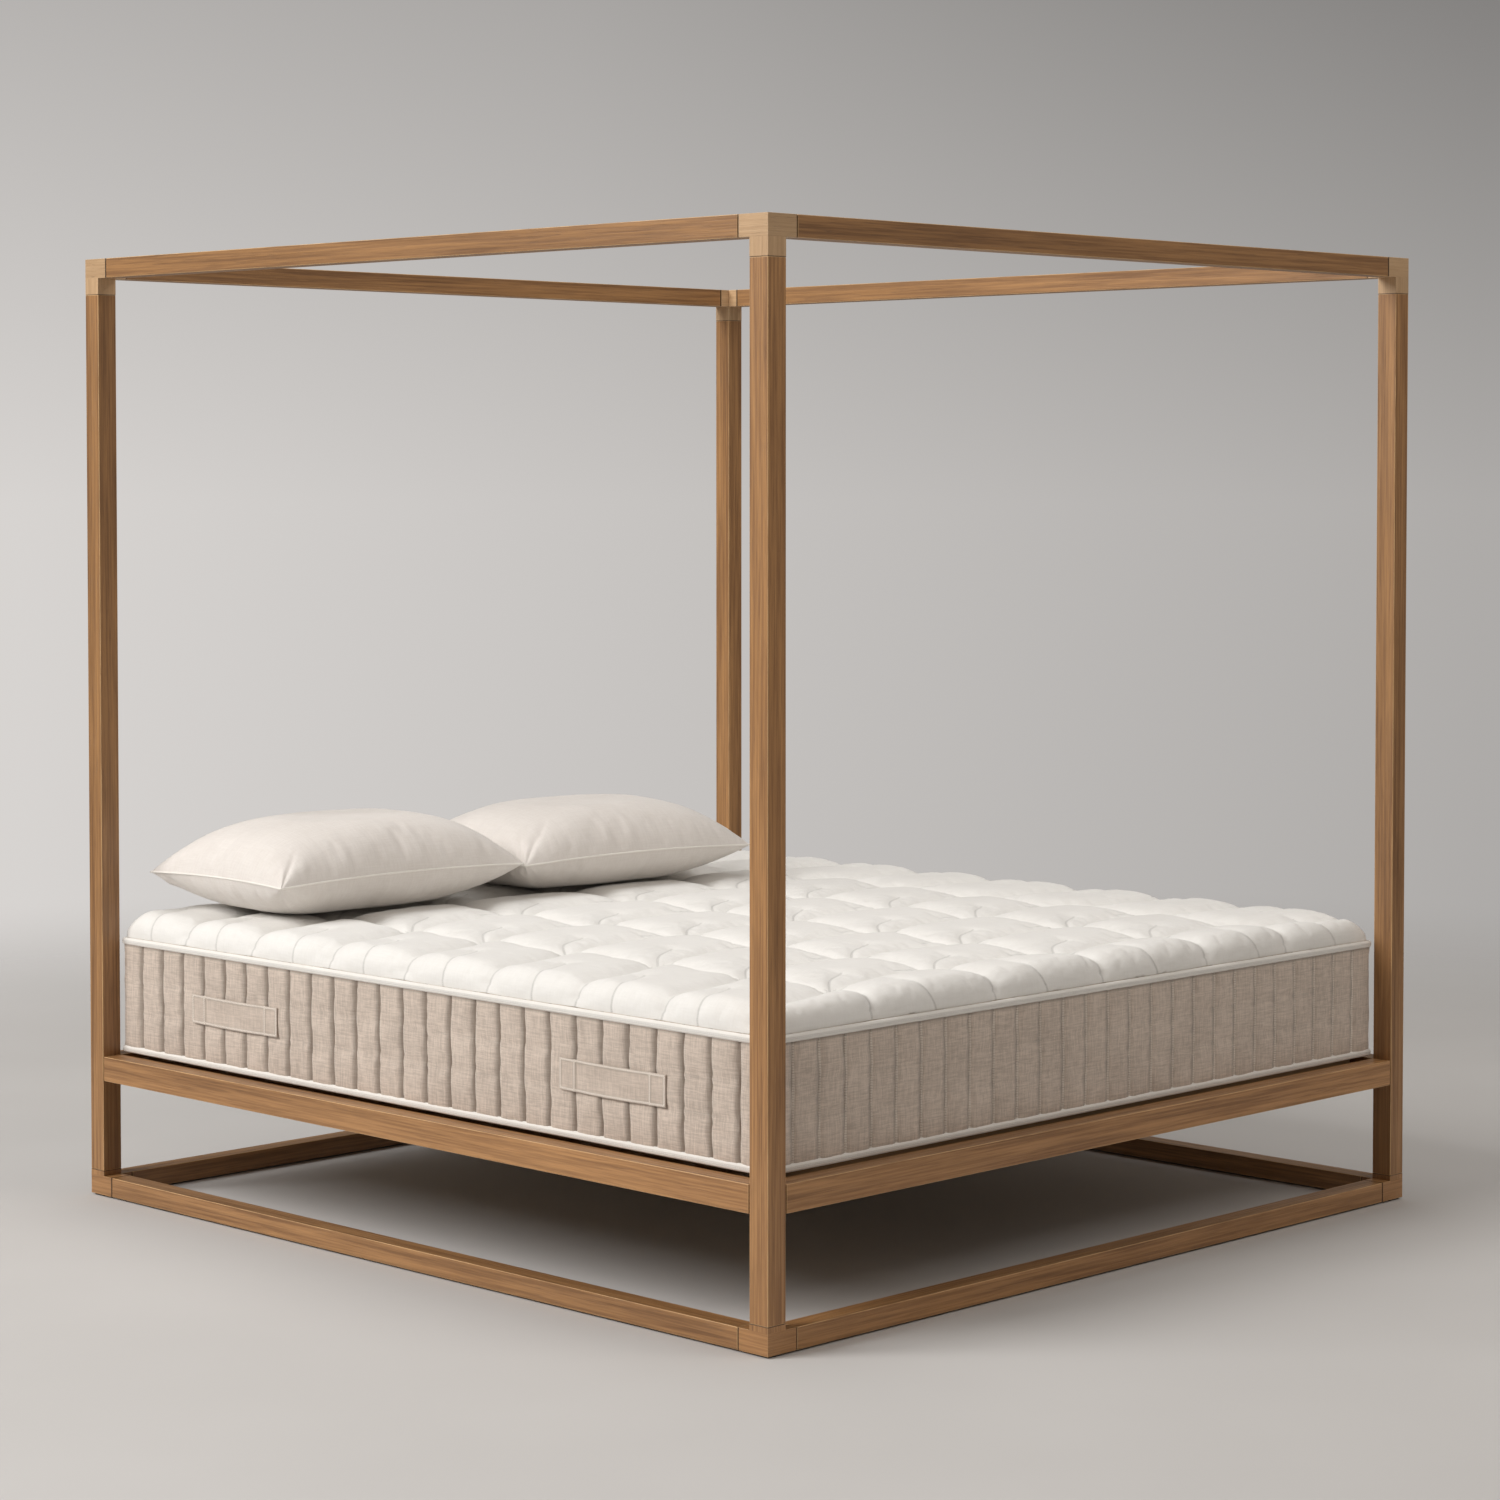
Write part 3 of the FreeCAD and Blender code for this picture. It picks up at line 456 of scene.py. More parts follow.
OAK_LIGHT, OAK_DARK, OAK_ARRIS_WEAR_AND_HIGHLIGHT = (0.47, 0.245, 0.096, 1), (0.185, 0.083, 0.028, 1), (0.68, 0.44, 0.22, 1)
# Colour of a connector's mitre line and of the painted shade at its joints.
JOINT_LINE_AND_SHADE = (0.05, 0.025, 0.012, 1)
ALONG_X, ALONG_Y, ALONG_Z = (0, 0, 0), (0, 0, 90), (0, 90, 0)


def dress_timber(material, tree, shader, vector, light, dark, fineness, contrast, arris, joint=None):
    """Grain, arrises painted lighter, partly as rubbed finish and partly as a painted highlight, and, on a
    connector, its mitre line and painted shade in the gaps at its ends.
    """
    grain = place_group(material, GRAIN, Vector=vector, Light=light, Dark=dark, Fineness=fineness,
                        Contrast=contrast)
    edge = place_group(material, ARRIS, Vector=object_vector(tree))["Mask"]
    # Lighter arrises: partly rubbed finish, partly painted highlight.
    colour = mixed(tree, math_node(tree, "MULTIPLY", edge, 0.85), grain["Color"], arris)
    # The joint mask: a dark mitre line, and painted shade at the ends of the arms and leg.
    if joint is not None:
        colour = mixed(tree, math_node(tree, "MULTIPLY", joint, 0.8), colour, JOINT_LINE_AND_SHADE)
    wire(tree, colour, shader.inputs["Base Color"])
    wire(tree, grain["Roughness"], shader.inputs["Roughness"])
    bump(tree, shader, grain["Height"], 0.00025)


def make_timber(name, degrees, light=OAK_LIGHT, dark=OAK_DARK, fineness=1.0, contrast=1.0, arris=OAK_ARRIS_WEAR_AND_HIGHLIGHT,
                coat=0.12):
    material, tree, shader = new_material(name, coat=coat)
    vector = turned_vector(tree, degrees)
    dress_timber(material, tree, shader, vector, light, dark, fineness, contrast, arris)
    return material


def make_connector_timber(name, node, light, dark, leg_above, leg_below, arris):
    """Corner timber: its grain runs along each arm, mitred where they meet, and up the leg.

    The ends of the arms and the leg are dark, as painted shade in the gaps where they meet the rails and the
    post.
    """
    material, tree, shader = new_material(name, coat=0.12)
    low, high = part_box(node)
    arm, leg_end = high.x - low.x, high.z if leg_above else low.z
    x, y, z = split(tree, object_vector(tree))
    in_x = math_node(tree, "SUBTRACT", FRAME_HIGH.x, math_node(tree, "ABSOLUTE", x))
    in_y = math_node(tree, "SUBTRACT", FRAME_HIGH.y, math_node(tree, "ABSOLUTE", y))
    on_side = math_node(tree, "GREATER_THAN", in_y, in_x)
    if leg_above:
        on_leg = math_node(tree, "GREATER_THAN", z, leg_above)
    else:
        on_leg = math_node(tree, "LESS_THAN", z, leg_below)
    level = one_or_other(tree, on_side, turned_vector(tree, ALONG_X), turned_vector(tree, ALONG_Y))
    vector = one_or_other(tree, on_leg, level, turned_vector(tree, ALONG_Z))
    apart = math_node(tree, "ABSOLUTE", math_node(tree, "SUBTRACT", in_x, in_y))
    mitre = ramp(tree, apart, 0.0011, 0.0003, 0.0, 1.0)
    reach = math_node(tree, "MAXIMUM", in_x, in_y)
    inside_cube = math_node(tree, "LESS_THAN", reach, POST_SIDE)
    facing = split(tree, tree.nodes.new("ShaderNodeTexCoord").outputs["Normal"])
    level_face = math_node(tree, "GREATER_THAN", math_node(tree, "ABSOLUTE", facing[2]), 0.9)
    joint = math_node(tree, "MULTIPLY", math_node(tree, "MULTIPLY", mitre, inside_cube), level_face)
    # Painted shade: the last millimetres of each arm darken where it meets its rail.
    joint = math_node(tree, "MAXIMUM", joint, ramp(tree, reach, arm - 0.0024, arm - 0.0010))
    from_leg_end = math_node(tree, "ABSOLUTE", math_node(tree, "SUBTRACT", z, leg_end))
    # Painted shade where the leg meets its post.
    joint = math_node(tree, "MAXIMUM", joint, ramp(tree, from_leg_end, 0.0020, 0.0008))
    dress_timber(material, tree, shader, vector, light, dark, 1.5, 0.75, arris, joint)
    return material


oak_along_x = make_timber("oiled oak along x", ALONG_X)
oak_along_y = make_timber("oiled oak along y", ALONG_Y)
oak_upright = make_timber("oiled oak upright", ALONG_Z)
top_corner_oak = make_connector_timber(
    "pale corner oak", "top_connector_foot_left", (0.62, 0.42, 0.24, 1), (0.40, 0.24, 0.12, 1),
    None, CANOPY_LOW.z, (0.74, 0.55, 0.34, 1))
base_corner_oak = make_connector_timber(
    "base corner oak", "base_connector_foot_left", OAK_LIGHT, OAK_DARK, BASE_RAIL_HIGH.z, None, OAK_ARRIS_WEAR_AND_HIGHLIGHT)
# Birch for the slats, darkened as painted shade, so that the slats seen through the gap under the mattress
# read dark.
slat_birch_painted_shade = make_timber("birch slat darkened as painted shade", ALONG_X, (0.44, 0.31, 0.185, 1), (0.30, 0.19, 0.10, 1), 1.2, 0.7,
                         (0.52, 0.38, 0.235, 1), 0.0)
tenon_beech = make_timber("beech tenon", ALONG_Z, (0.60, 0.40, 0.24, 1), (0.42, 0.26, 0.14, 1), 1.6, 0.6,
                          (0.66, 0.47, 0.29, 1), 0.0)


def make_steel(name, colour, roughness, grit):
    """Plated or painted steel with a fine, slightly patchy surface."""
    material, tree, shader = new_material(name)
    vector = object_vector(tree)
    patch = grainy(tree, vector, (30, 30, 30), 3, 0.6)
    speck = grainy(tree, vector, (1500, 1500, 1500), 2, 0.6)
    dull = tuple(part * 0.72 for part in colour[:3]) + (1,)
    wire(tree, mixed(tree, ramp(tree, patch, 0.3, 0.7), dull, colour), shader.inputs["Base Color"])
    wire(tree, ramp(tree, patch, 0.3, 0.7, roughness + 0.1, roughness), shader.inputs["Roughness"])
    shader.inputs["Metallic"].default_value = 1.0 if grit == 0 else 0.0
    bump(tree, shader, speck, 0.00003 + grit)
    return material


zinc_steel = make_steel("zinc plated steel", (0.56, 0.57, 0.58, 1), 0.34, 0)
painted_steel = make_steel("black painted steel", (0.028, 0.028, 0.03, 1), 0.5, 0.00006)


def make_moulded(name, colour):
    """Moulded or foamed plastic, paler where it is rubbed."""
    material, tree, shader = new_material(name, roughness=0.55)
    vector = object_vector(tree)
    wear = ramp(tree, grainy(tree, vector, (120, 120, 120), 3, 0.6), 0.35, 0.7)
    pale = tuple(min(1, part * 1.8 + 0.01) for part in colour[:3]) + (1,)
    wire(tree, mixed(tree, wear, colour, pale), shader.inputs["Base Color"])
    wire(tree, ramp(tree, wear, 0, 1, 0.5, 0.68), shader.inputs["Roughness"])
    bump(tree, shader, grainy(tree, vector, (2600, 2600, 2600), 2, 0.6), 0.00004)
    return material


glide_nylon = make_moulded("dark nylon glide", (0.025, 0.022, 0.02, 1))
core_foam = make_moulded("core foam", (0.62, 0.55, 0.36, 1))


def uv_vector(tree, name="cloth"):
    node = tree.nodes.new("ShaderNodeUVMap")
    node.uv_map = name
    return node.outputs[0]


def attribute(tree, name):
    node = tree.nodes.new("ShaderNodeAttribute")
    node.attribute_name = name
    return node.outputs["Fac"]


def dress_cloth(material, tree, shader, vector, thread, light, dark, slub, relief, rows=(),
                thread_colour=None, shadow=0.35):
    """A weave with rows of stitches on it, each with painted shade beside it as strong as shadow.

    rows holds each row's distance and run sockets, the width of its thread, how strongly it shows and, for a
    seam that leans over, a value below 0 on its lit side and above 0 on its dark one.
    """
    weave = place_group(material, WEAVE, Vector=vector, Thread=thread, Light=light, Dark=dark, Slub=slub)
    colour, height = weave["Color"], math_node(tree, "MULTIPLY", weave["Height"], relief)
    deep = tuple(part * 0.5 for part in dark[:3]) + (1,)
    for distance, run, width, strength, lean in rows:
        row = place_group(material, STITCH, Distance=distance, Run=run, Width=width)
        sink = math_node(tree, "MULTIPLY", row["Sink"], strength)
        dash = math_node(tree, "MULTIPLY", row["Thread"], strength)
        # On a leaning seam the painted shade lies on its dark side only, and the pale thread, a painted
        # highlight, on its lit side only.
        if lean is not None:
            sink = math_node(tree, "MULTIPLY", sink, ramp(tree, lean, -0.04, 0.04))
            dash = math_node(tree, "MULTIPLY", dash, ramp(tree, lean, 0.04, -0.04))
        # Painted shade: the cloth darkens towards deep beside the stitched line.
        colour = mixed(tree, math_node(tree, "MULTIPLY", sink, shadow), colour, deep)
        colour = mixed(tree, math_node(tree, "MULTIPLY", dash, 0.85), colour, thread_colour or light)
        height = math_node(tree, "MULTIPLY_ADD", dash, 0.0006, height)
        height = math_node(tree, "MULTIPLY_ADD", sink, -0.0004, height)
    wire(tree, colour, shader.inputs["Base Color"])
    bump(tree, shader, height, 1.0)


LINEN_LIGHT, LINEN_DARK, LINEN_THREAD = (0.72, 0.61, 0.52, 1), (0.39, 0.32, 0.265, 1), (0.88, 0.80, 0.71, 1)
LINEN_ROWS = (0.096, 0.165)    # heights of the border's two fine rows


def make_border_linen():
    """Oatmeal linen with a stitched line between channels, painted highlight on one side of it and painted
    shade on the other, two fine rows that run round and a painted shadow under the upper tape.
    """
    material, tree, shader = new_material("oatmeal border linen", 0.88, sheen=0.25)
    vector = uv_vector(tree)
    along, up = split(tree, vector)[:2]
    # Channel seams: channel_side picks the painted highlight for the lit side and the painted shade for the
    # other.
    rows = [(attribute(tree, "channel_seam"), up, 0.0025, 1.0, attribute(tree, "channel_side"))]
    here_and_there = ramp(tree, grainy(tree, vector, (16, 5, 1), 2, 0.5), 0.5, 0.7, 0.0, 0.4)
    for height in LINEN_ROWS:
        distance = math_node(tree, "ABSOLUTE", math_node(tree, "SUBTRACT", up, height))
        rows.append((distance, along, 0.0006, here_and_there, None))
    # A painted shadow along the border just beneath the upper tape.
    tape_foot = TAPE_LOW.z - BORDER_LOW.z
    painted_shadow_under_tape = math_node(tree, "ABSOLUTE", math_node(tree, "SUBTRACT", up, tape_foot))
    rows.append((painted_shadow_under_tape, along, 0.0010, 1.0, 1.0))
    dress_cloth(material, tree, shader, vector, 0.0011, LINEN_LIGHT, LINEN_DARK, 0.65, 0.00020, rows,
                LINEN_THREAD, 0.65)
    return material


def make_plain_cloth(name, thread, light, dark, slub, relief, seam=None, sheen=0.3, roughness=0.85,
                     stitch=0.0006, thread_colour=None, shadow=0.35):
    """A plain woven cloth, with stitches along an attribute's zero line if it has one and painted shade
    beside them as strong as shadow.
    """
    material, tree, shader = new_material(name, roughness, sheen=sheen)
    vector = uv_vector(tree)
    rows = []
    if seam:
        along, up = split(tree, vector)[:2]
        run = math_node(tree, "ADD", along, up)
        rows = [(attribute(tree, seam), run, stitch, 1.0, None)]
    dress_cloth(material, tree, shader, vector, thread, light, dark, slub, relief, rows,
                thread_colour, shadow)
    return material


border_linen = make_border_linen()
handle_linen = make_plain_cloth("handle linen", 0.0011, LINEN_LIGHT, LINEN_DARK, 0.5, 0.00016, "edge_stitch",
                                stitch=0.0014, thread_colour=LINEN_THREAD, shadow=0.2)


def make_quilt_cotton():
    """White cotton with a fine sunk row of stitches along the quilting, with painted shade beside it.

    quilt_side changes sign across a line and quilt_seam tells a real line from the middle of a puff.
    """
    material, tree, shader = new_material("quilted cotton", 0.85, sheen=0.35)
    vector = uv_vector(tree)
    along, up = split(tree, vector)[:2]
    away = math_node(tree, "SUBTRACT", attribute(tree, "quilt_seam"), 0.007)
    distance = math_node(tree, "MAXIMUM", math_node(tree, "ABSOLUTE", attribute(tree, "quilt_side")), away)
    run = math_node(tree, "ADD", along, up)
    rows = [(distance, run, 0.0006, 1.0, None)]
    # The last 0.5 is the strength of the painted shade along the quilting.
    dress_cloth(material, tree, shader, vector, 0.0006, (0.88, 0.87, 0.845, 1), (0.78, 0.765, 0.73, 1), 0.35,
                0.00006, rows, (0.80, 0.785, 0.75, 1), 0.5)
    return material


quilt_cotton = make_quilt_cotton()
tape_cotton = make_plain_cloth("edge tape", 0.0008, (0.92, 0.90, 0.86, 1), (0.82, 0.79, 0.74, 1), 0.3, 0.0001,
                               "tape_stitch")
base_cloth = make_plain_cloth("base cloth", 0.0009, (0.60, 0.57, 0.52, 1), (0.46, 0.43, 0.38, 1), 0.4, 0.0001)
pillow_cotton = make_plain_cloth("feather proof cotton", 0.0007, (0.83, 0.79, 0.75, 1),
                                 (0.70, 0.65, 0.605, 1), 0.45, 0.00007, sheen=0.35)
# The piping is paler than the pillow cloth: a painted highlight where the piped seam catches the light from
# above.
piping_cotton_painted_highlight = make_plain_cloth("piping cotton with painted highlight", 0.0007, (0.95, 0.925, 0.88, 1), (0.86, 0.82, 0.76, 1), 0.3,
                                 0.00008)


# ---------------- finish the frame's own pieces

def finish_frame():
    """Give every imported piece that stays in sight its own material."""
    by_name = [
        ("post_bracket_plates", zinc_steel), ("rail_hook_plates", zinc_steel), ("post_", oak_upright),
        ("top_connector_", top_corner_oak), ("base_connector_", base_corner_oak),
        ("canopy_tenons", tenon_beech), ("base_tenons", tenon_beech), ("floor_glides", glide_nylon),
        ("plate_screws", zinc_steel), ("ledger_screws", zinc_steel), ("slat_screws", zinc_steel),
        ("centre_beam", painted_steel), ("beam_hangers", painted_steel), ("ledger_", oak_along_y),
        ("slat_", slat_birch_painted_shade), ("mattress_core", core_foam),
    ]
    for name, node in nodes.items():
        material = next((m for start, m in by_name if name.startswith(start)), None)
        if "_rail_" in name and not name.startswith("rail_hook"):
            material = oak_along_x if name.endswith(("foot", "head")) else oak_along_y
        if material:
            node.data.materials.clear()
            node.data.materials.append(material)


finish_frame()


# ---------------- mattress

def round_path(run, half_x, half_y, radius):
    """The point and the outward way at a distance along a rounded rectangle, anticlockwise from the
    left end of the foot side's straight."""
    straights = (2 * (half_x - radius), 2 * (half_y - radius))
    arc = math.pi / 2 * radius
    run %= 2 * sum(straights) + 4 * arc
    for side in range(4):
        length, turn = straights[side % 2], side * math.pi / 2
        along = Vector((math.cos(turn), math.sin(turn), 0))
        out = Vector((math.sin(turn), -math.cos(turn), 0))
        start = out * (half_y, half_x)[side % 2] - along * length / 2
        if run <= length:
            break
        run -= length
        if run <= arc:
            centre = start + along * length - out * radius
            way = out * math.cos(run / radius) + along * math.sin(run / radius)
            return centre + way * radius, way
        run -= arc
    return start + along * min(run, length), out


def path_length(half_x, half_y, radius):
    """Once round a rounded rectangle."""
    return 4 * (half_x + half_y - 2 * radius) + 2 * math.pi * radius


def stations(half_x, half_y, radius, step, turns):
    """Distances round a rounded rectangle: even steps on its straights and `turns` steps at each corner."""
    runs, start = [], 0.0
    arc = math.pi / 2 * radius
    for length in (2 * (half_x - radius), 2 * (half_y - radius)) * 2:
        count = round(length / step)
        runs += [start + length * k / count for k in range(count)]
        runs += [start + length + arc * k / turns for k in range(turns)]
        start += length + arc
    return runs + [start]


def set_attribute(piece, name, values):
    """Give each vertex a number that a material reads."""
    layer = piece.data.attributes.new(name, "FLOAT", "POINT")
    layer.data.foreach_set("value", values)


def make_border():
    """The side border: padded upright channels between stitched lines, 27 to a side."""
    channels = 27
    half_x, half_y, radius = BORDER_HIGH.x, BORDER_HIGH.y, CORNER - (HALF_X - BORDER_HIGH.x)
    low, high = BORDER_LOW.z, BORDER_HIGH.z
    straight_x, straight_y = 2 * (half_x - radius), 2 * (half_y - radius)
    arc = math.pi / 2 * radius
    seams, start = [], 0.0
    for length, reach in ((straight_x, HALF_X), (straight_y, HALF_Y)) * 2:
        pitch = 2 * reach / channels
        seams += [start + length / 2 - reach + pitch * k for k in range(1, channels)]
        start += length + arc
    total = path_length(half_x, half_y, radius)
    straight_steps, corner_steps, widest_straight = 10, 44, 0.1
    straight_spread = [0.5 - 0.5 * math.cos(math.pi * k / straight_steps) for k in range(straight_steps)]
    corner_spread = [k / corner_steps for k in range(corner_steps)]
    runs, shares, channel = [], [], []
    for here, beyond in zip(seams, seams[1:] + [seams[0] + total]):
        spread = corner_spread if beyond - here > widest_straight else straight_spread
        runs += [here + (beyond - here) * t for t in spread]
        shares += spread
        channel += [beyond - here] * len(spread)
    runs.append(seams[0] + total)
    shares.append(0.0)
    channel.append(channel[0])
    rows = 28
    levels = [0.5 - 0.5 * math.cos(math.pi * (0.12 + 0.76 * j / rows)) for j in range(rows + 1)]
    levels = [(level - levels[0]) / (levels[-1] - levels[0]) for level in levels]
    columns = len(runs) - 1
    puff, round_over, set_back = 0.0062, 0.012, 0.0048

    def place(i, j):
        height = levels[j] * (high - low)
        wander = 0.0022 * noise.noise(Vector((runs[i] * 6, height * 14, 7))) * min(1.0, fold(levels[j]) * 5)
        point, out = round_path(runs[i] + wander, half_x, half_y, radius)
        side = min(1.0, min(shares[i], 1 - shares[i]) * channel[i] / round_over)
        pad = puff * math.sqrt(max(0.0, 1 - (1 - side) ** 2))
        pad *= min(1.0, fold(levels[j]) * 7) ** 0.5
        for row in LINEN_ROWS:
            pad -= 0.0003 * math.exp(-abs(height - row) / 0.006)
        belly = 0.0012 * (1 - (2 * levels[j] - 1) ** 2)
        wobble = 0.0008 * noise.noise(Vector((runs[i] * 14, height * 22, 0)))
        spot = point + out * (pad - set_back + belly + wobble)
        return Vector((spot.x, spot.y, low + height))

    border, spots = cloth_grid("mattress_border_linen", columns, rows, place,
                               lambda i, j: (runs[i], levels[j] * (high - low)))
    held = [1.0 if shares[i] == 0 or j in (0, rows) else 0.0 for i, j in spots]
    inflate(border, held, pressure=3.0, slack=0.012, steps=12, most=0.0022, bending=0.02)
    gaps = [min(shares[i], 1 - shares[i]) * channel[i] for i, j in spots]
    set_attribute(border, "channel_seam", gaps)
    # channel_side is below 0 on the side of each seam that is painted lit and above 0 on the side painted in
    # shade.
    set_attribute(border, "channel_side", [-math.sin(2 * math.pi * shares[i]) for i, j in spots])
    weld_and_face_out(border)
    finish_with(border, "SOLIDIFY", thickness=0.004, offset=-1)
    smooth(border, 60)
    border.data.materials.clear()
    border.data.materials.append(border_linen)
    follow(border, "mattress", "mattress_border", slot="border_cloth", fill=0.8)


def make_tape(name, low, high, node, stitch_low):
    """A folded edge tape, rounded in front, with a row of stitches near its border side."""
    half_x, half_y, radius = HALF_X + 0.0018, HALF_Y + 0.0018, CORNER
    runs = stations(half_x, half_y, radius, 0.03, 8)
    tall = high - low
    columns = len(runs) - 1
    front = [(-0.009, 0.04)]
    for k in range(15):
        angle = math.pi * (k / 14 - 0.5)
        front.append((-0.0062 * (1 - math.cos(angle)), 0.5 + 0.5 * math.sin(angle)))
    front.append((-0.009, 0.96))
    section = [(out, share * tall) for out, share in front]
    section.append(section[0])
    stitch = low + tall * stitch_low

    def place(i, j):
        run = runs[i]
        point, way = round_path(run, half_x, half_y, radius)
        out, up = section[j]
        up += 0.0005 * noise.noise(Vector((point.x * 3.1, point.y * 3.1, low * 5)))
        out += 0.0004 * noise.noise(Vector((point.x * 14, point.y * 14, up * 60 + low)))
        spot = point + way * out
        return Vector((spot.x, spot.y, low + up))

    tape, _ = cloth_grid(name, columns, len(section) - 1, place,
                             lambda i, j: (runs[i], j * 0.0024))
    set_attribute(tape, "tape_stitch", [abs(vertex.co.z - stitch) for vertex in tape.data.vertices])
    weld_and_face_out(tape)
    smooth(tape)
    tape.data.materials.clear()
    tape.data.materials.append(tape_cotton)
    follow(tape, "mattress", node, slot="tape_cloth", fill=0.9)


def wavering(points, bow, sideways):
    """Points on a gently bowed stitched line between two tufts."""
    first, last = points
    line = []
    length = (last - first).length
    count = max(2, int(length / 0.005))
    across = Vector((-(last - first).y, (last - first).x)).normalized()
    for k in range(count + 1):
        t = k / count
        swing = bow * math.sin(math.pi * t) + sideways * math.sin(2 * math.pi * t)
        line.append(first.lerp(last, t) + across * swing)
    return line


def quilt_lines(half_p, half_q):
    """The quilt's tufts, the main lines between them and the short lines at the edges, on the flat cloth."""
    shake = random.Random(7)

    def stray(size):
        return shake.uniform(-size, size)

    columns = [-0.655, -0.318, 0.026, 0.372, 0.668]
    rows = [-0.880, -0.640, -0.398, -0.140, 0.118, 0.372, 0.626, 0.876]
    tufts = {(i, j): Vector((x + stray(0.014), y + stray(0.014) + 0.012 * (i % 2)))
             for i, x in enumerate(columns) for j, y in enumerate(rows)}
    main, fine = [], []
    last_i, last_j = len(columns) - 1, len(rows) - 1
    for (i, j), tuft in tufts.items():
        if i < last_i:
            main.append(wavering((tuft, tufts[i + 1, j]), 0.030 + stray(0.008), stray(0.006)))
        if j < last_j:
            main.append(wavering((tuft, tufts[i, j + 1]), stray(0.012), 0.012 + stray(0.004)))
        if i < last_i and j < last_j:
            middle = (tuft + tufts[i + 1, j + 1]) / 2
            fine.append(wavering((tuft, tuft.lerp(middle, 0.75)), 0.016 + stray(0.006), 0.0))
            other = tufts[i + 1, j]
            fine.append(wavering((other, other.lerp(middle, 0.45)), -0.012 + stray(0.006), 0.0))
        if i in (0, last_i):
            side = -half_p if i == 0 else half_p
            drop = 0.075 + stray(0.012)
            main.append(wavering((tuft, Vector((side, tuft.y - drop))), 0.026 if i == 0 else -0.026, 0.0))
            between = tuft.y - drop + 0.128 + stray(0.01)
            inward = Vector((side * 0.83, between + 0.045))
            fine.append(wavering((Vector((side, between)), inward), -0.01, 0.0))
        if j in (0, last_j):
            end = -half_q if j == 0 else half_q
            main.append(wavering((tuft, Vector((tuft.x + stray(0.012), end))), 0.008, 0.0))
            between = tuft.x + 0.172 + stray(0.012)
            if between < half_p - 0.06:
                inward = Vector((between - 0.02, end * 0.87))
                fine.append(wavering((Vector((between, end)), inward), 0.01, 0.0))
    return list(tufts.values()), main, fine


def nearest(lines):
    """A tree of the points on some lines, for finding the nearest one, and the way of each one's line."""
    spots = [(spot, line[min(k + 1, len(line) - 1)] - line[max(k - 1, 0)])
             for line in lines for k, spot in enumerate(line)]
    tree = kdtree.KDTree(len(spots))
    for index, (spot, way) in enumerate(spots):
        tree.insert((spot.x, spot.y, 0), index)
    tree.balance()
    return tree, [way.normalized() for spot, way in spots]


def beside(lines, p, q):
    """How far a point is from the nearest of some lines, and the same measured square to it with a sign."""
    tree, ways = lines
    spot, index, gap = tree.find((p, q, 0))
    way = ways[index]
    return gap, way.x * (q - spot.y) - way.y * (p - spot.x)


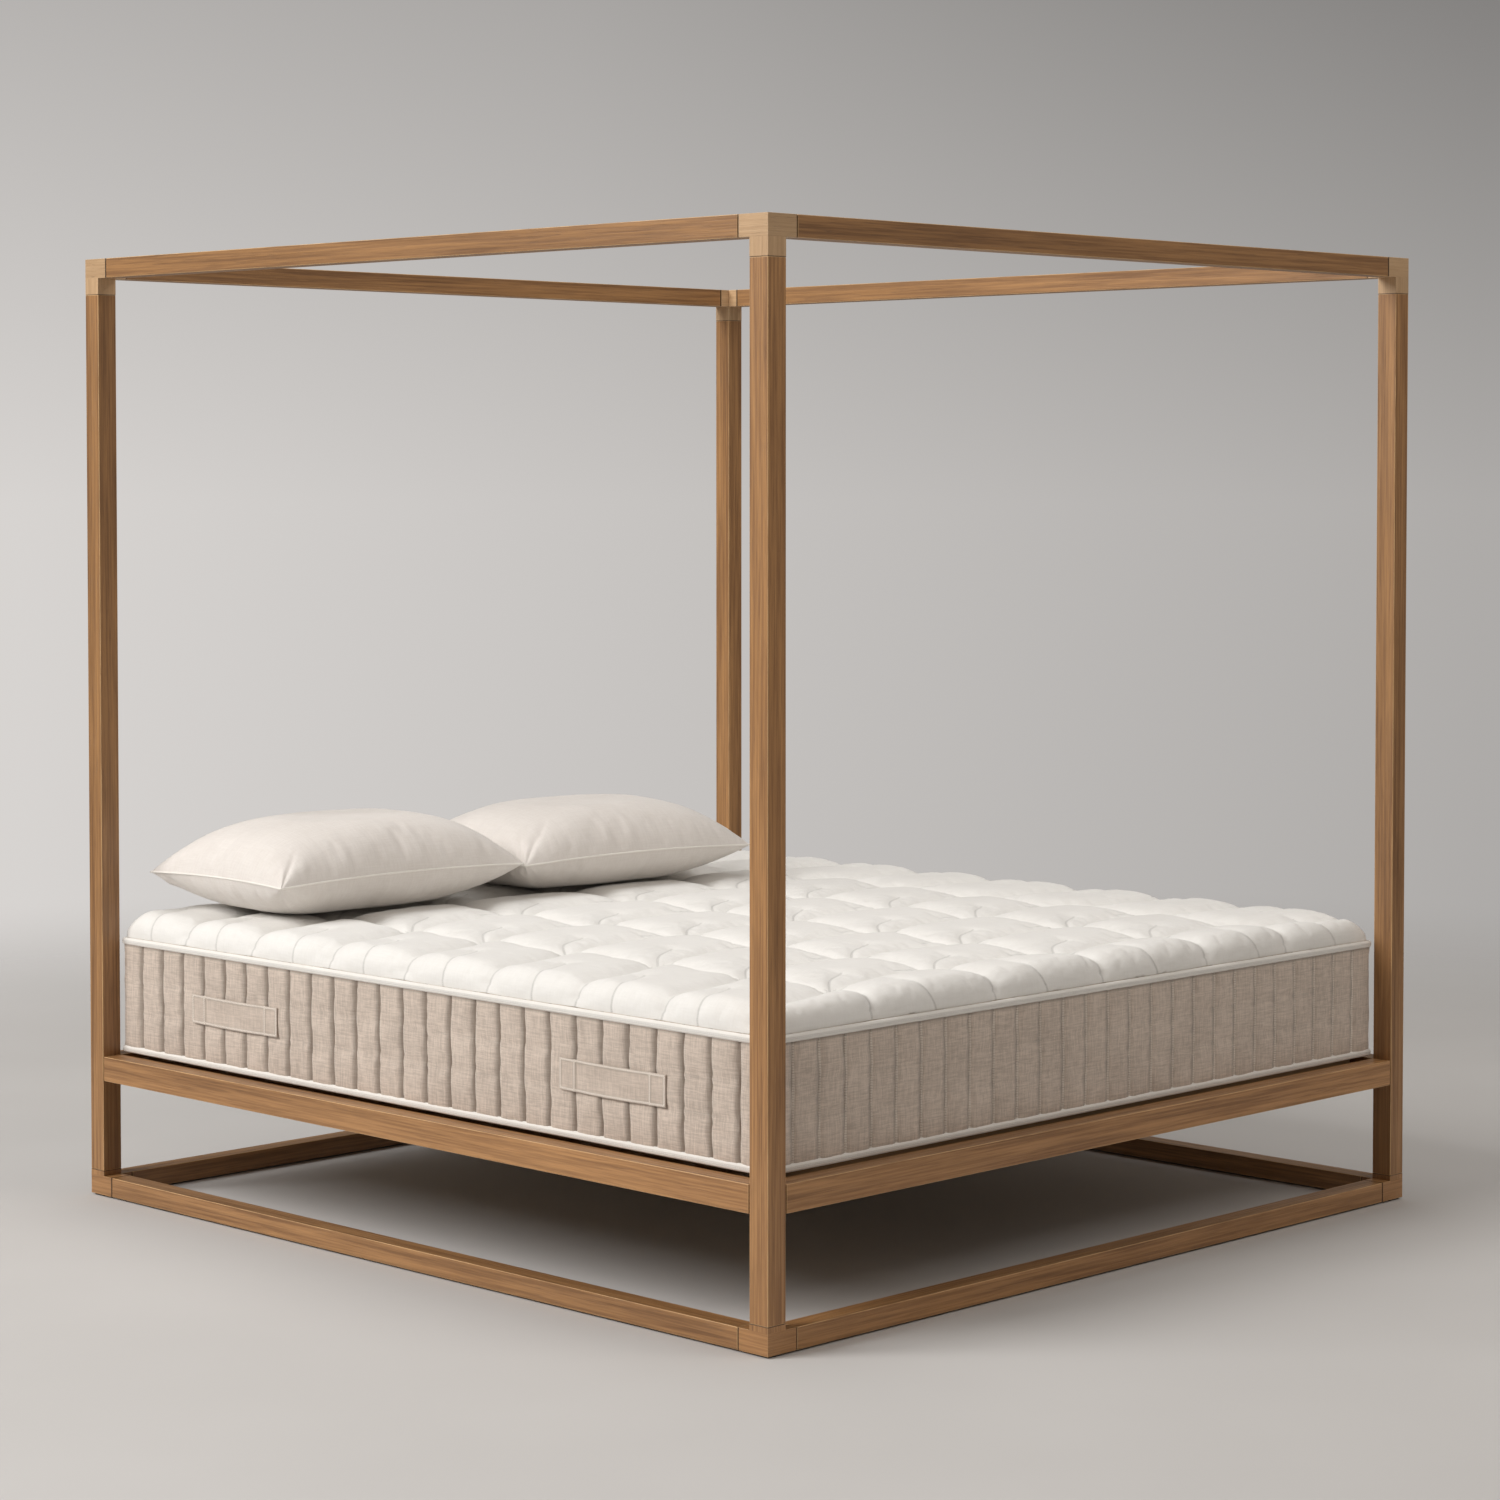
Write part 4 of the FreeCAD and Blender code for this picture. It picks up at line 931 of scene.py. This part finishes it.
def make_quilt():
    """The top panel: one cotton cloth over filling, rolled down to the tape and quilted to tufts."""
    roll, foot = 0.050, TOP_LOW.z
    half_x, half_y = TOP_HIGH.x, TOP_HIGH.y
    radius = TOP_CORNER
    crown = TOP_HIGH.z - 0.0010
    fall = crown - foot - roll
    inner_x, inner_y = half_x - radius, half_y - radius
    apron = (radius - roll) + math.pi / 2 * roll + fall
    half_p, half_q = inner_x + apron, inner_y + apron
    columns, rows = 304, 318
    tufts, main, fine = quilt_lines(half_p, half_q)
    main_lines, fine_lines, tuft_tree = nearest(main), nearest(fine), nearest([tufts])[0]
    folds = [(random.Random(index).uniform(0, 6.28), 5 + index % 4) for index in range(len(tufts))]

    def measure(i, j):
        return (2 * i / columns - 1) * half_p, (2 * j / rows - 1) * half_q

    def rolled(p, q):
        """A spot of the flat cloth on the unquilted panel, and the way out of its surface there."""
        over_p, over_q = max(0.0, abs(p) - inner_x), max(0.0, abs(q) - inner_y)
        x, y = min(abs(p), inner_x), min(abs(q), inner_y)
        a, b = over_p / apron, over_q / apron
        a, b = a * math.sqrt(1 - b * b / 2), b * math.sqrt(1 - a * a / 2)
        reach = math.hypot(a, b) * apron
        way = Vector((a, b)).normalized() if reach > 1e-9 else Vector((0, 0))
        flat = radius - roll
        turn = min(max(0.0, reach - flat) / roll, math.pi / 2)
        out = min(reach, flat) + roll * math.sin(turn)
        down = roll * (1 - math.cos(turn)) + max(0.0, reach - flat - roll * math.pi / 2)
        sign_p, sign_q = (1 if p >= 0 else -1), (1 if q >= 0 else -1)
        square = (abs(way.x) ** 14 + abs(way.y) ** 14) ** (-1 / 14) if reach > 1e-9 else 1.0
        out *= 1 + (square - 1) * down / (crown - foot)
        point = Vector((sign_p * (x + way.x * out), sign_q * (y + way.y * out), crown - down))
        normal = Vector((sign_p * way.x * math.sin(turn), sign_q * way.y * math.sin(turn), math.cos(turn)))
        return point, normal, reach

    def valley(gap, deep, width, crease_deep, crease_width):
        """How far a line of stitches pulls the cloth in at a distance: a wide hollow with a crease in it."""
        return deep * max(0.0, 1 - gap / width) ** 2 + crease_deep * math.exp(-gap / crease_width)

    tuft_depth, tuft_width = 0.0085, 0.040
    seam_gap, seam_side = [], []

    def place(i, j):
        p, q = measure(i, j)
        point, normal, reach = rolled(p, q)
        d_main, side_main = beside(main_lines, p, q)
        d_fine, side_fine = beside(fine_lines, p, q)
        spot, which, d_tuft = tuft_tree.find((p, q, 0))
        depth = valley(d_main, 0.0115, 0.115, 0.0075, 0.0125) + valley(d_fine, 0.0025, 0.05, 0.0040, 0.009)
        depth += tuft_depth * math.exp(-(d_tuft / tuft_width) ** 2)
        if 0.004 < d_tuft < 0.16:
            phase, count = folds[which]
            angle = math.atan2(q - spot.y, p - spot.x)
            crease = math.sin(count * angle + phase) ** 3
            depth += 0.0024 * crease * math.exp(-d_tuft / 0.06) * min(1, d_tuft / 0.02)
        depth += 0.0014 * noise.noise(Vector((p * 7, q * 7, 3)))
        depth += 0.0006 * noise.noise(Vector((p * 24, q * 24, 5)))
        hem = min(1.0, max(0.0, (apron - reach) / 0.020))
        depth = depth * (0.25 + 0.75 * hem) + 0.0035 * (1 - hem) ** 2
        seam_gap.append(min(d_main, d_fine))
        side = side_main if d_main < d_fine else side_fine
        seam_side.append(max(-0.03, min(0.03, side)))
        return point - normal * (depth + 0.0008)

    quilt, spots = cloth_grid("mattress_quilted_top", columns, rows, place, measure)
    set_attribute(quilt, "quilt_seam", seam_gap)
    set_attribute(quilt, "quilt_side", seam_side)
    held = []
    for (i, j), gap in zip(spots, seam_gap):
        edge = i in (0, columns) or j in (0, rows)
        held.append(1.0 if edge or gap < 0.0050 else 0.0)
    inflate(quilt, held, pressure=2.2, slack=0.010, steps=12, most=0.0035, bending=0.02)
    top = crown + 0.0008
    for vertex in quilt.data.vertices:
        if vertex.co.z > top - 0.002:
            vertex.co.z = top - 0.002 + 0.002 * math.tanh((vertex.co.z - top + 0.002) / 0.002)
    take(quilt)
    bpy.ops.object.mode_set(mode="EDIT")
    bpy.ops.mesh.select_all(action="SELECT")
    bpy.ops.mesh.region_to_loop()
    bpy.ops.mesh.edge_face_add()
    bpy.ops.object.mode_set(mode="OBJECT")
    finish_in(quilt, quilt_cotton, 70)
    follow(quilt, "mattress", "mattress_top_panel", slot="quilt_cloth", fill=0.75)


def make_base_cloth():
    """The cloth that closes the mattress underneath, slack enough to dip a little between the slats."""
    half_x, half_y = BASE_HIGH.x, BASE_HIGH.y
    radius = CORNER - (HALF_X - half_x)
    slats = sorted(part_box(name) [0].y for name in nodes if name.startswith("slat_") and name[5:].isdigit())
    slat_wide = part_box("slat_01")[1].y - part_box("slat_01")[0].y
    columns, rows = 40, 280

    def measure(i, j):
        return (2 * i / columns - 1) * half_x, (2 * j / rows - 1) * half_y

    def place(i, j):
        p, q = measure(i, j)
        over_p = max(0.0, abs(p) - half_x + radius) / radius
        over_q = max(0.0, abs(q) - half_y + radius) / radius
        x = min(abs(p), half_x - radius) + radius * over_p * math.sqrt(1 - over_q * over_q / 2)
        y = min(abs(q), half_y - radius) + radius * over_q * math.sqrt(1 - over_p * over_p / 2)
        y = math.copysign(y, q)
        dip = 0.0
        for low, beyond in zip(slats, slats[1:]):
            start, end = low + slat_wide, beyond
            if start < y < end:
                dip = 0.0022 * math.sin(math.pi * (y - start) / (end - start)) ** 2
        dip *= min(1.0, (half_x - abs(p)) / 0.08)
        return Vector((math.copysign(x, p), y, BASE_LOW.z + 0.0002 - dip))

    base, _ = cloth_grid("mattress_base_cloth", columns, rows, place, measure)
    finish_with(base, "SOLIDIFY", thickness=0.004, offset=1)
    finish_in(base, base_cloth, 60)
    follow(base, "mattress", "mattress_base_panel", slot="base_cloth", fill=0.9)


def make_handles():
    """Sewn strap handles: turned edges and a stitched tab over each end, two to each long side."""
    low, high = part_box("mattress_handles")
    face = BORDER_HIGH.x + 0.0022
    length, tall = 0.300, high.z - low.z
    middle_z = (low.z + high.z) / 2
    columns, rows = 120, 30
    tab = 0.046
    row_in, row_wide = 0.0030, 0.0026    # how far in the stitches run, and how wide the ridge beside them is

    def measure(i, j):
        return (i / columns - 0.5) * length, (j / rows - 0.5) * tall

    def place(i, j):
        u, v = measure(i, j)
        from_end, from_edge = length / 2 - abs(u), tall / 2 - abs(v)
        free = min(1.0, max(0.0, (from_end - tab) / 0.05))
        arch = 0.0022 * math.sin(math.pi / 2 * free) ** 2
        turned_edge = 0.0014 * math.exp(-((from_edge - row_in) / row_wide) ** 2)
        if from_end < tab:
            near = min(from_end, tab - from_end, from_edge)
            turned_edge = 0.0016 + 0.0012 * math.exp(-((near - row_in) / row_wide) ** 2)
        droop = -0.0016 * math.sin(math.pi * (u / length + 0.5)) * (1 if v < 0 else 0.7)
        ripple = 0.0003 * noise.noise(Vector((u * 30, v * 60, 1)))
        return Vector((-face - 0.0016 - arch - turned_edge - ripple, u, middle_z + v + droop))

    strap, spots = cloth_grid("strap", columns, rows, place, measure)
    gaps = []
    for i, j in spots:
        u, v = measure(i, j)
        from_end, from_edge = length / 2 - abs(u), tall / 2 - abs(v)
        frame_gap = abs(min(from_end, from_edge) - row_in)
        tab_gap = abs(from_end - (tab - row_in))
        gaps.append(min(frame_gap, tab_gap))
    set_attribute(strap, "edge_stitch", gaps)
    finish_with(strap, "SOLIDIFY", thickness=0.0026, offset=0)
    finish_in(strap, handle_linen, 50)
    spread = (high.y - low.y - length) / 2
    straps = []
    for turn in (0, math.pi):
        for y in (-spread, spread):
            copy = strap.copy()
            copy.data = strap.data.copy()
            scene.collection.objects.link(copy)
            copy.data.transform(Matrix.Rotation(turn, 4, "Z") @ Matrix.Translation((0, y, 0)))
            straps.append(copy)
    bpy.data.objects.remove(strap)
    clear_bench()
    for copy in straps:
        copy.select_set(True)
    bpy.context.view_layer.objects.active = straps[0]
    bpy.ops.object.join()
    handles = added("mattress_strap_handles")
    follow(handles, "mattress", "mattress_handles", slot="border_cloth")


# ---------------- pillows

def plump(share):
    """The height of filled cloth over a half-width, from 0 at the seam to 1 over the middle."""
    return 1 - (1 - share) ** 1.25


def make_pillow(side, turn, loft, seam, seed):
    """A feather pillow: two panels sewn round a piped seam, blown up by their filling and laid down.

    loft is its height and seam the height of its seam.
    """
    low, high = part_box("pillow_" + side)
    piping_out = 0.005
    width, depth = 0.710 - piping_out, 0.480 - piping_out
    columns, rows = 88, 64

    def measure(i, j):
        return (i / columns - 0.5) * width * 1.15, (j / rows - 0.5) * depth * 1.25

    def panel(way):
        def place(i, j):
            s, t = math.pi * (i / columns - 0.5), math.pi * (j / rows - 0.5)
            u, v = math.sin(s), math.sin(t)
            full = plump(max(0.0, math.cos(s))) * plump(max(0.0, math.cos(t)))
            x = width / 2 * u * (1 - 0.022 * (1 - v * v))
            y = depth / 2 * v * (1 - 0.022 * (1 - u * u))
            if way > 0:
                rise = (loft - seam) * full
            else:
                rise = -seam * 1.2 * full / (1 + (1.2 * full) ** 6) ** (1 / 6)
            in_x, in_y = width / 2 - abs(x), depth / 2 - abs(y)
            off = math.hypot(in_x, in_y)
            angle = math.atan2(in_y, in_x)
            phase = seed + 2.1 * (u > 0) + 3.7 * (v > 0) + way
            fan = 0.0016 * math.sin(11 * angle + phase) * math.exp(-off / 0.055) * min(1.0, off / 0.03)
            from_seam = min(in_x, in_y)
            along = x if in_y < in_x else y
            pucker = (0.0070 + 0.0050 * (in_x < in_y)) * noise.noise(Vector((along * 42, seed, way)))
            pucker *= math.exp(-from_seam / 0.04)
            pucker *= min(1.0, from_seam / 0.012)
            dent = 0.0055 * noise.noise(Vector((x * 7, y * 9, seed + way)))
            bow = 0.009 * (1 - u * u) * v * v + 0.006 * (1 - v * v) * u * u
            return Vector((x, y, rise + bow + (fan + pucker + dent) * min(1.0, full * 4)))
        return place

    upper, spots = cloth_grid("upper", columns, rows, panel(1), measure)
    lower, _ = cloth_grid("lower", columns, rows, panel(-1), measure)
    sewn = [i in (0, columns) or j in (0, rows) for i, j in spots]
    for flat in (upper, lower):
        set_attribute(flat, "sewn", [float(edge) for edge in sewn])
    lower.data.flip_normals()
    clear_bench()
    lower.select_set(True)
    upper.select_set(True)
    bpy.context.view_layer.objects.active = upper
    bpy.ops.object.join()
    cover = added(f"pillow_{side}_cover")
    weld_and_face_out(cover, 1e-6)
    on_seam = [item.value > 0.5 for item in cover.data.attributes["sewn"].data]
    cover.data.attributes.remove(cover.data.attributes["sewn"])
    inflate(cover, [0.85 if edge else 0.0 for edge in on_seam], pressure=4.0, slack=0.004, steps=20,
            most=0.010, stiffness=14, bending=0.25)

    rest = TOP_HIGH.z + 0.0006
    for vertex in cover.data.vertices:
        under = 0.0005 - seam
        vertex.co.z = (under if vertex.co.z < under else min(vertex.co.z, loft - seam)) + seam
    spot = Matrix.Translation(((low.x + high.x) / 2, (low.y + high.y) / 2, rest))
    cover.data.transform(spot @ Matrix.Rotation(math.radians(turn), 4, "Z"))

    take(cover)
    scene.tool_settings.mesh_select_mode = (False, True, False)
    for polygon in cover.data.polygons:
        polygon.select = False
    for vertex, sewn in zip(cover.data.vertices, on_seam):
        vertex.select = sewn
    for edge in cover.data.edges:
        edge.select = all(on_seam[index] for index in edge.vertices)
    bpy.ops.object.mode_set(mode="EDIT")
    bpy.ops.mesh.duplicate()
    bpy.ops.mesh.separate(type="SELECTED")
    bpy.ops.object.mode_set(mode="OBJECT")
    scene.tool_settings.mesh_select_mode = (True, False, False)
    piping = [o for o in bpy.context.selected_objects if o is not cover][0]
    take(piping)
    bpy.ops.object.convert(target="CURVE")
    piping = bpy.context.object
    piping.data.bevel_depth = 0.0021
    piping.data.bevel_resolution = 2
    bpy.ops.object.convert(target="MESH", keep_original=False)
    piping = added(f"pillow_{side}_piping")
    if not piping.data.uv_layers:
        piping.data.uv_layers.new(name="cloth")
    layer = piping.data.uv_layers[0]
    layer.name = "cloth"
    for loop in piping.data.loops:
        co = piping.data.vertices[loop.vertex_index].co
        layer.data[loop.index].uv = (co.x + co.y, co.z + co.x - co.y)
    finish_in(piping, piping_cotton_painted_highlight)

    finish_with(cover, "SUBSURF", levels=1, render_levels=1)
    smooth(cover)
    cover.data.materials.clear()
    cover.data.materials.append(pillow_cotton)
    follow(cover, "pillow_" + side, "pillow_" + side, slot="pillow_cloth", fill=0.8)
    follow(piping, "pillow_" + side, slot="pillow_cloth")


make_border()
make_tape("mattress_upper_tape", TAPE_LOW.z, TAPE_HIGH.z, "mattress_tape_top", 0.5)
make_tape("mattress_lower_tape", BASE_TAPE_LOW.z, BASE_TAPE_HIGH.z, "mattress_tape_bottom", 0.5)
make_quilt()
make_base_cloth()
make_handles()
make_pillow("left", turn=0, loft=0.204, seam=0.082, seed=11)
make_pillow("right", turn=-3, loft=0.191, seam=0.075, seed=23)


# ---------------- studio

def make_floor():
    """A pale floor that fades into the backdrop away from the bed."""
    clear_bench()
    bpy.ops.mesh.primitive_plane_add(size=90, location=(0, 0, 0))
    floor = added("studio_floor")
    settle(floor)
    material, tree, shader = new_material("pale studio floor", 0.75)
    vector = object_vector(tree)
    patch = grainy(tree, vector, (0.8, 0.8, 0.8), 3, 0.5)
    wire(tree, mixed(tree, ramp(tree, patch, 0.3, 0.7), (0.56, 0.55, 0.54, 1), (0.59, 0.58, 0.57, 1)),
         shader.inputs["Base Color"])
    away = tree.nodes.new("ShaderNodeVectorMath")
    away.operation = "LENGTH"
    wire(tree, vector, away.inputs[0])
    wire(tree, ramp(tree, away.outputs["Value"], 2.2, 6.2, 1.0, 0.0), shader.inputs["Alpha"])
    floor.data.materials.append(material)


def make_light(name, place, target, size, power, colour=(1, 1, 1)):
    """A soft rectangular lamp turned towards a target."""
    lamp = bpy.data.lights.new(name, "AREA")
    lamp.shape = "RECTANGLE"
    lamp.size, lamp.size_y = size
    lamp.energy = power
    lamp.color = colour
    lamp_object = bpy.data.objects.new(name, lamp)
    scene.collection.objects.link(lamp_object)
    lamp_object.location = place
    lamp_object.rotation_euler = (Vector(target) - Vector(place)).to_track_quat("-Z", "Y").to_euler()


def make_backdrop():
    """Even, warm light from all round, and a grey backdrop that darkens to the right and upwards."""
    world = bpy.data.worlds.new("studio")
    scene.world = world
    world.use_nodes = True
    tree = world.node_tree
    way = tree.nodes.new("ShaderNodeTexCoord").outputs["Generated"]
    rightwards = tree.nodes.new("ShaderNodeVectorMath")
    rightwards.operation = "DOT_PRODUCT"
    wire(tree, way, rightwards.inputs[0])
    rightwards.inputs[1].default_value = (0.703, -0.711, 0)
    across = rightwards.outputs["Value"]
    highest = ramp(tree, across, -0.05, 0.2, 0.68, 0.54, False)
    shade = math_node(tree, "MULTIPLY", ramp(tree, across, -0.2, 0.2, 1.0, 0.62, False),
                      ramp(tree, split(tree, way)[2], -0.01, 0.13, 1.0, highest, False))
    grey = scaled(tree, (0.68, 0.655, 0.635), shade)
    seen = tree.nodes.new("ShaderNodeLightPath").outputs["Is Camera Ray"]
    colour = mixed(tree, seen, (0.225, 0.203, 0.180, 1), grey)
    wire(tree, colour, tree.nodes["Background"].inputs["Color"])


def make_studio():
    make_floor()
    make_light("window", (-8.3, 2.6, 6.3), (0, 0.1, 0.6), (5, 5), 900, (1.0, 0.985, 0.97))
    make_light("foot fill", (1.5, -6.5, 6.0), (0, -0.6, 0.5), (4, 3), 142, (1.0, 0.95, 0.90))
    make_light("overhead", (0.5, 0.5, 5.5), (0, 0, 0), (5, 5), 76)
    make_backdrop()
    scene.view_settings.view_transform = "Standard"
    scene.view_settings.look = "None"


def make_camera():
    """A long lens at eye height off the foot's left corner, shifted rather than tipped."""
    camera = bpy.data.cameras.new("camera")
    camera.lens = 85.9
    camera.sensor_width = 36
    camera.shift_y = -0.10
    camera_object = bpy.data.objects.new("camera", camera)
    scene.collection.objects.link(camera_object)
    camera_object.location = (-5.695, -5.642, 1.644)
    camera_object.rotation_euler = (math.radians(87.87), 0, math.radians(-45.351))
    scene.camera = camera_object


make_studio()
make_camera()
clear_bench()
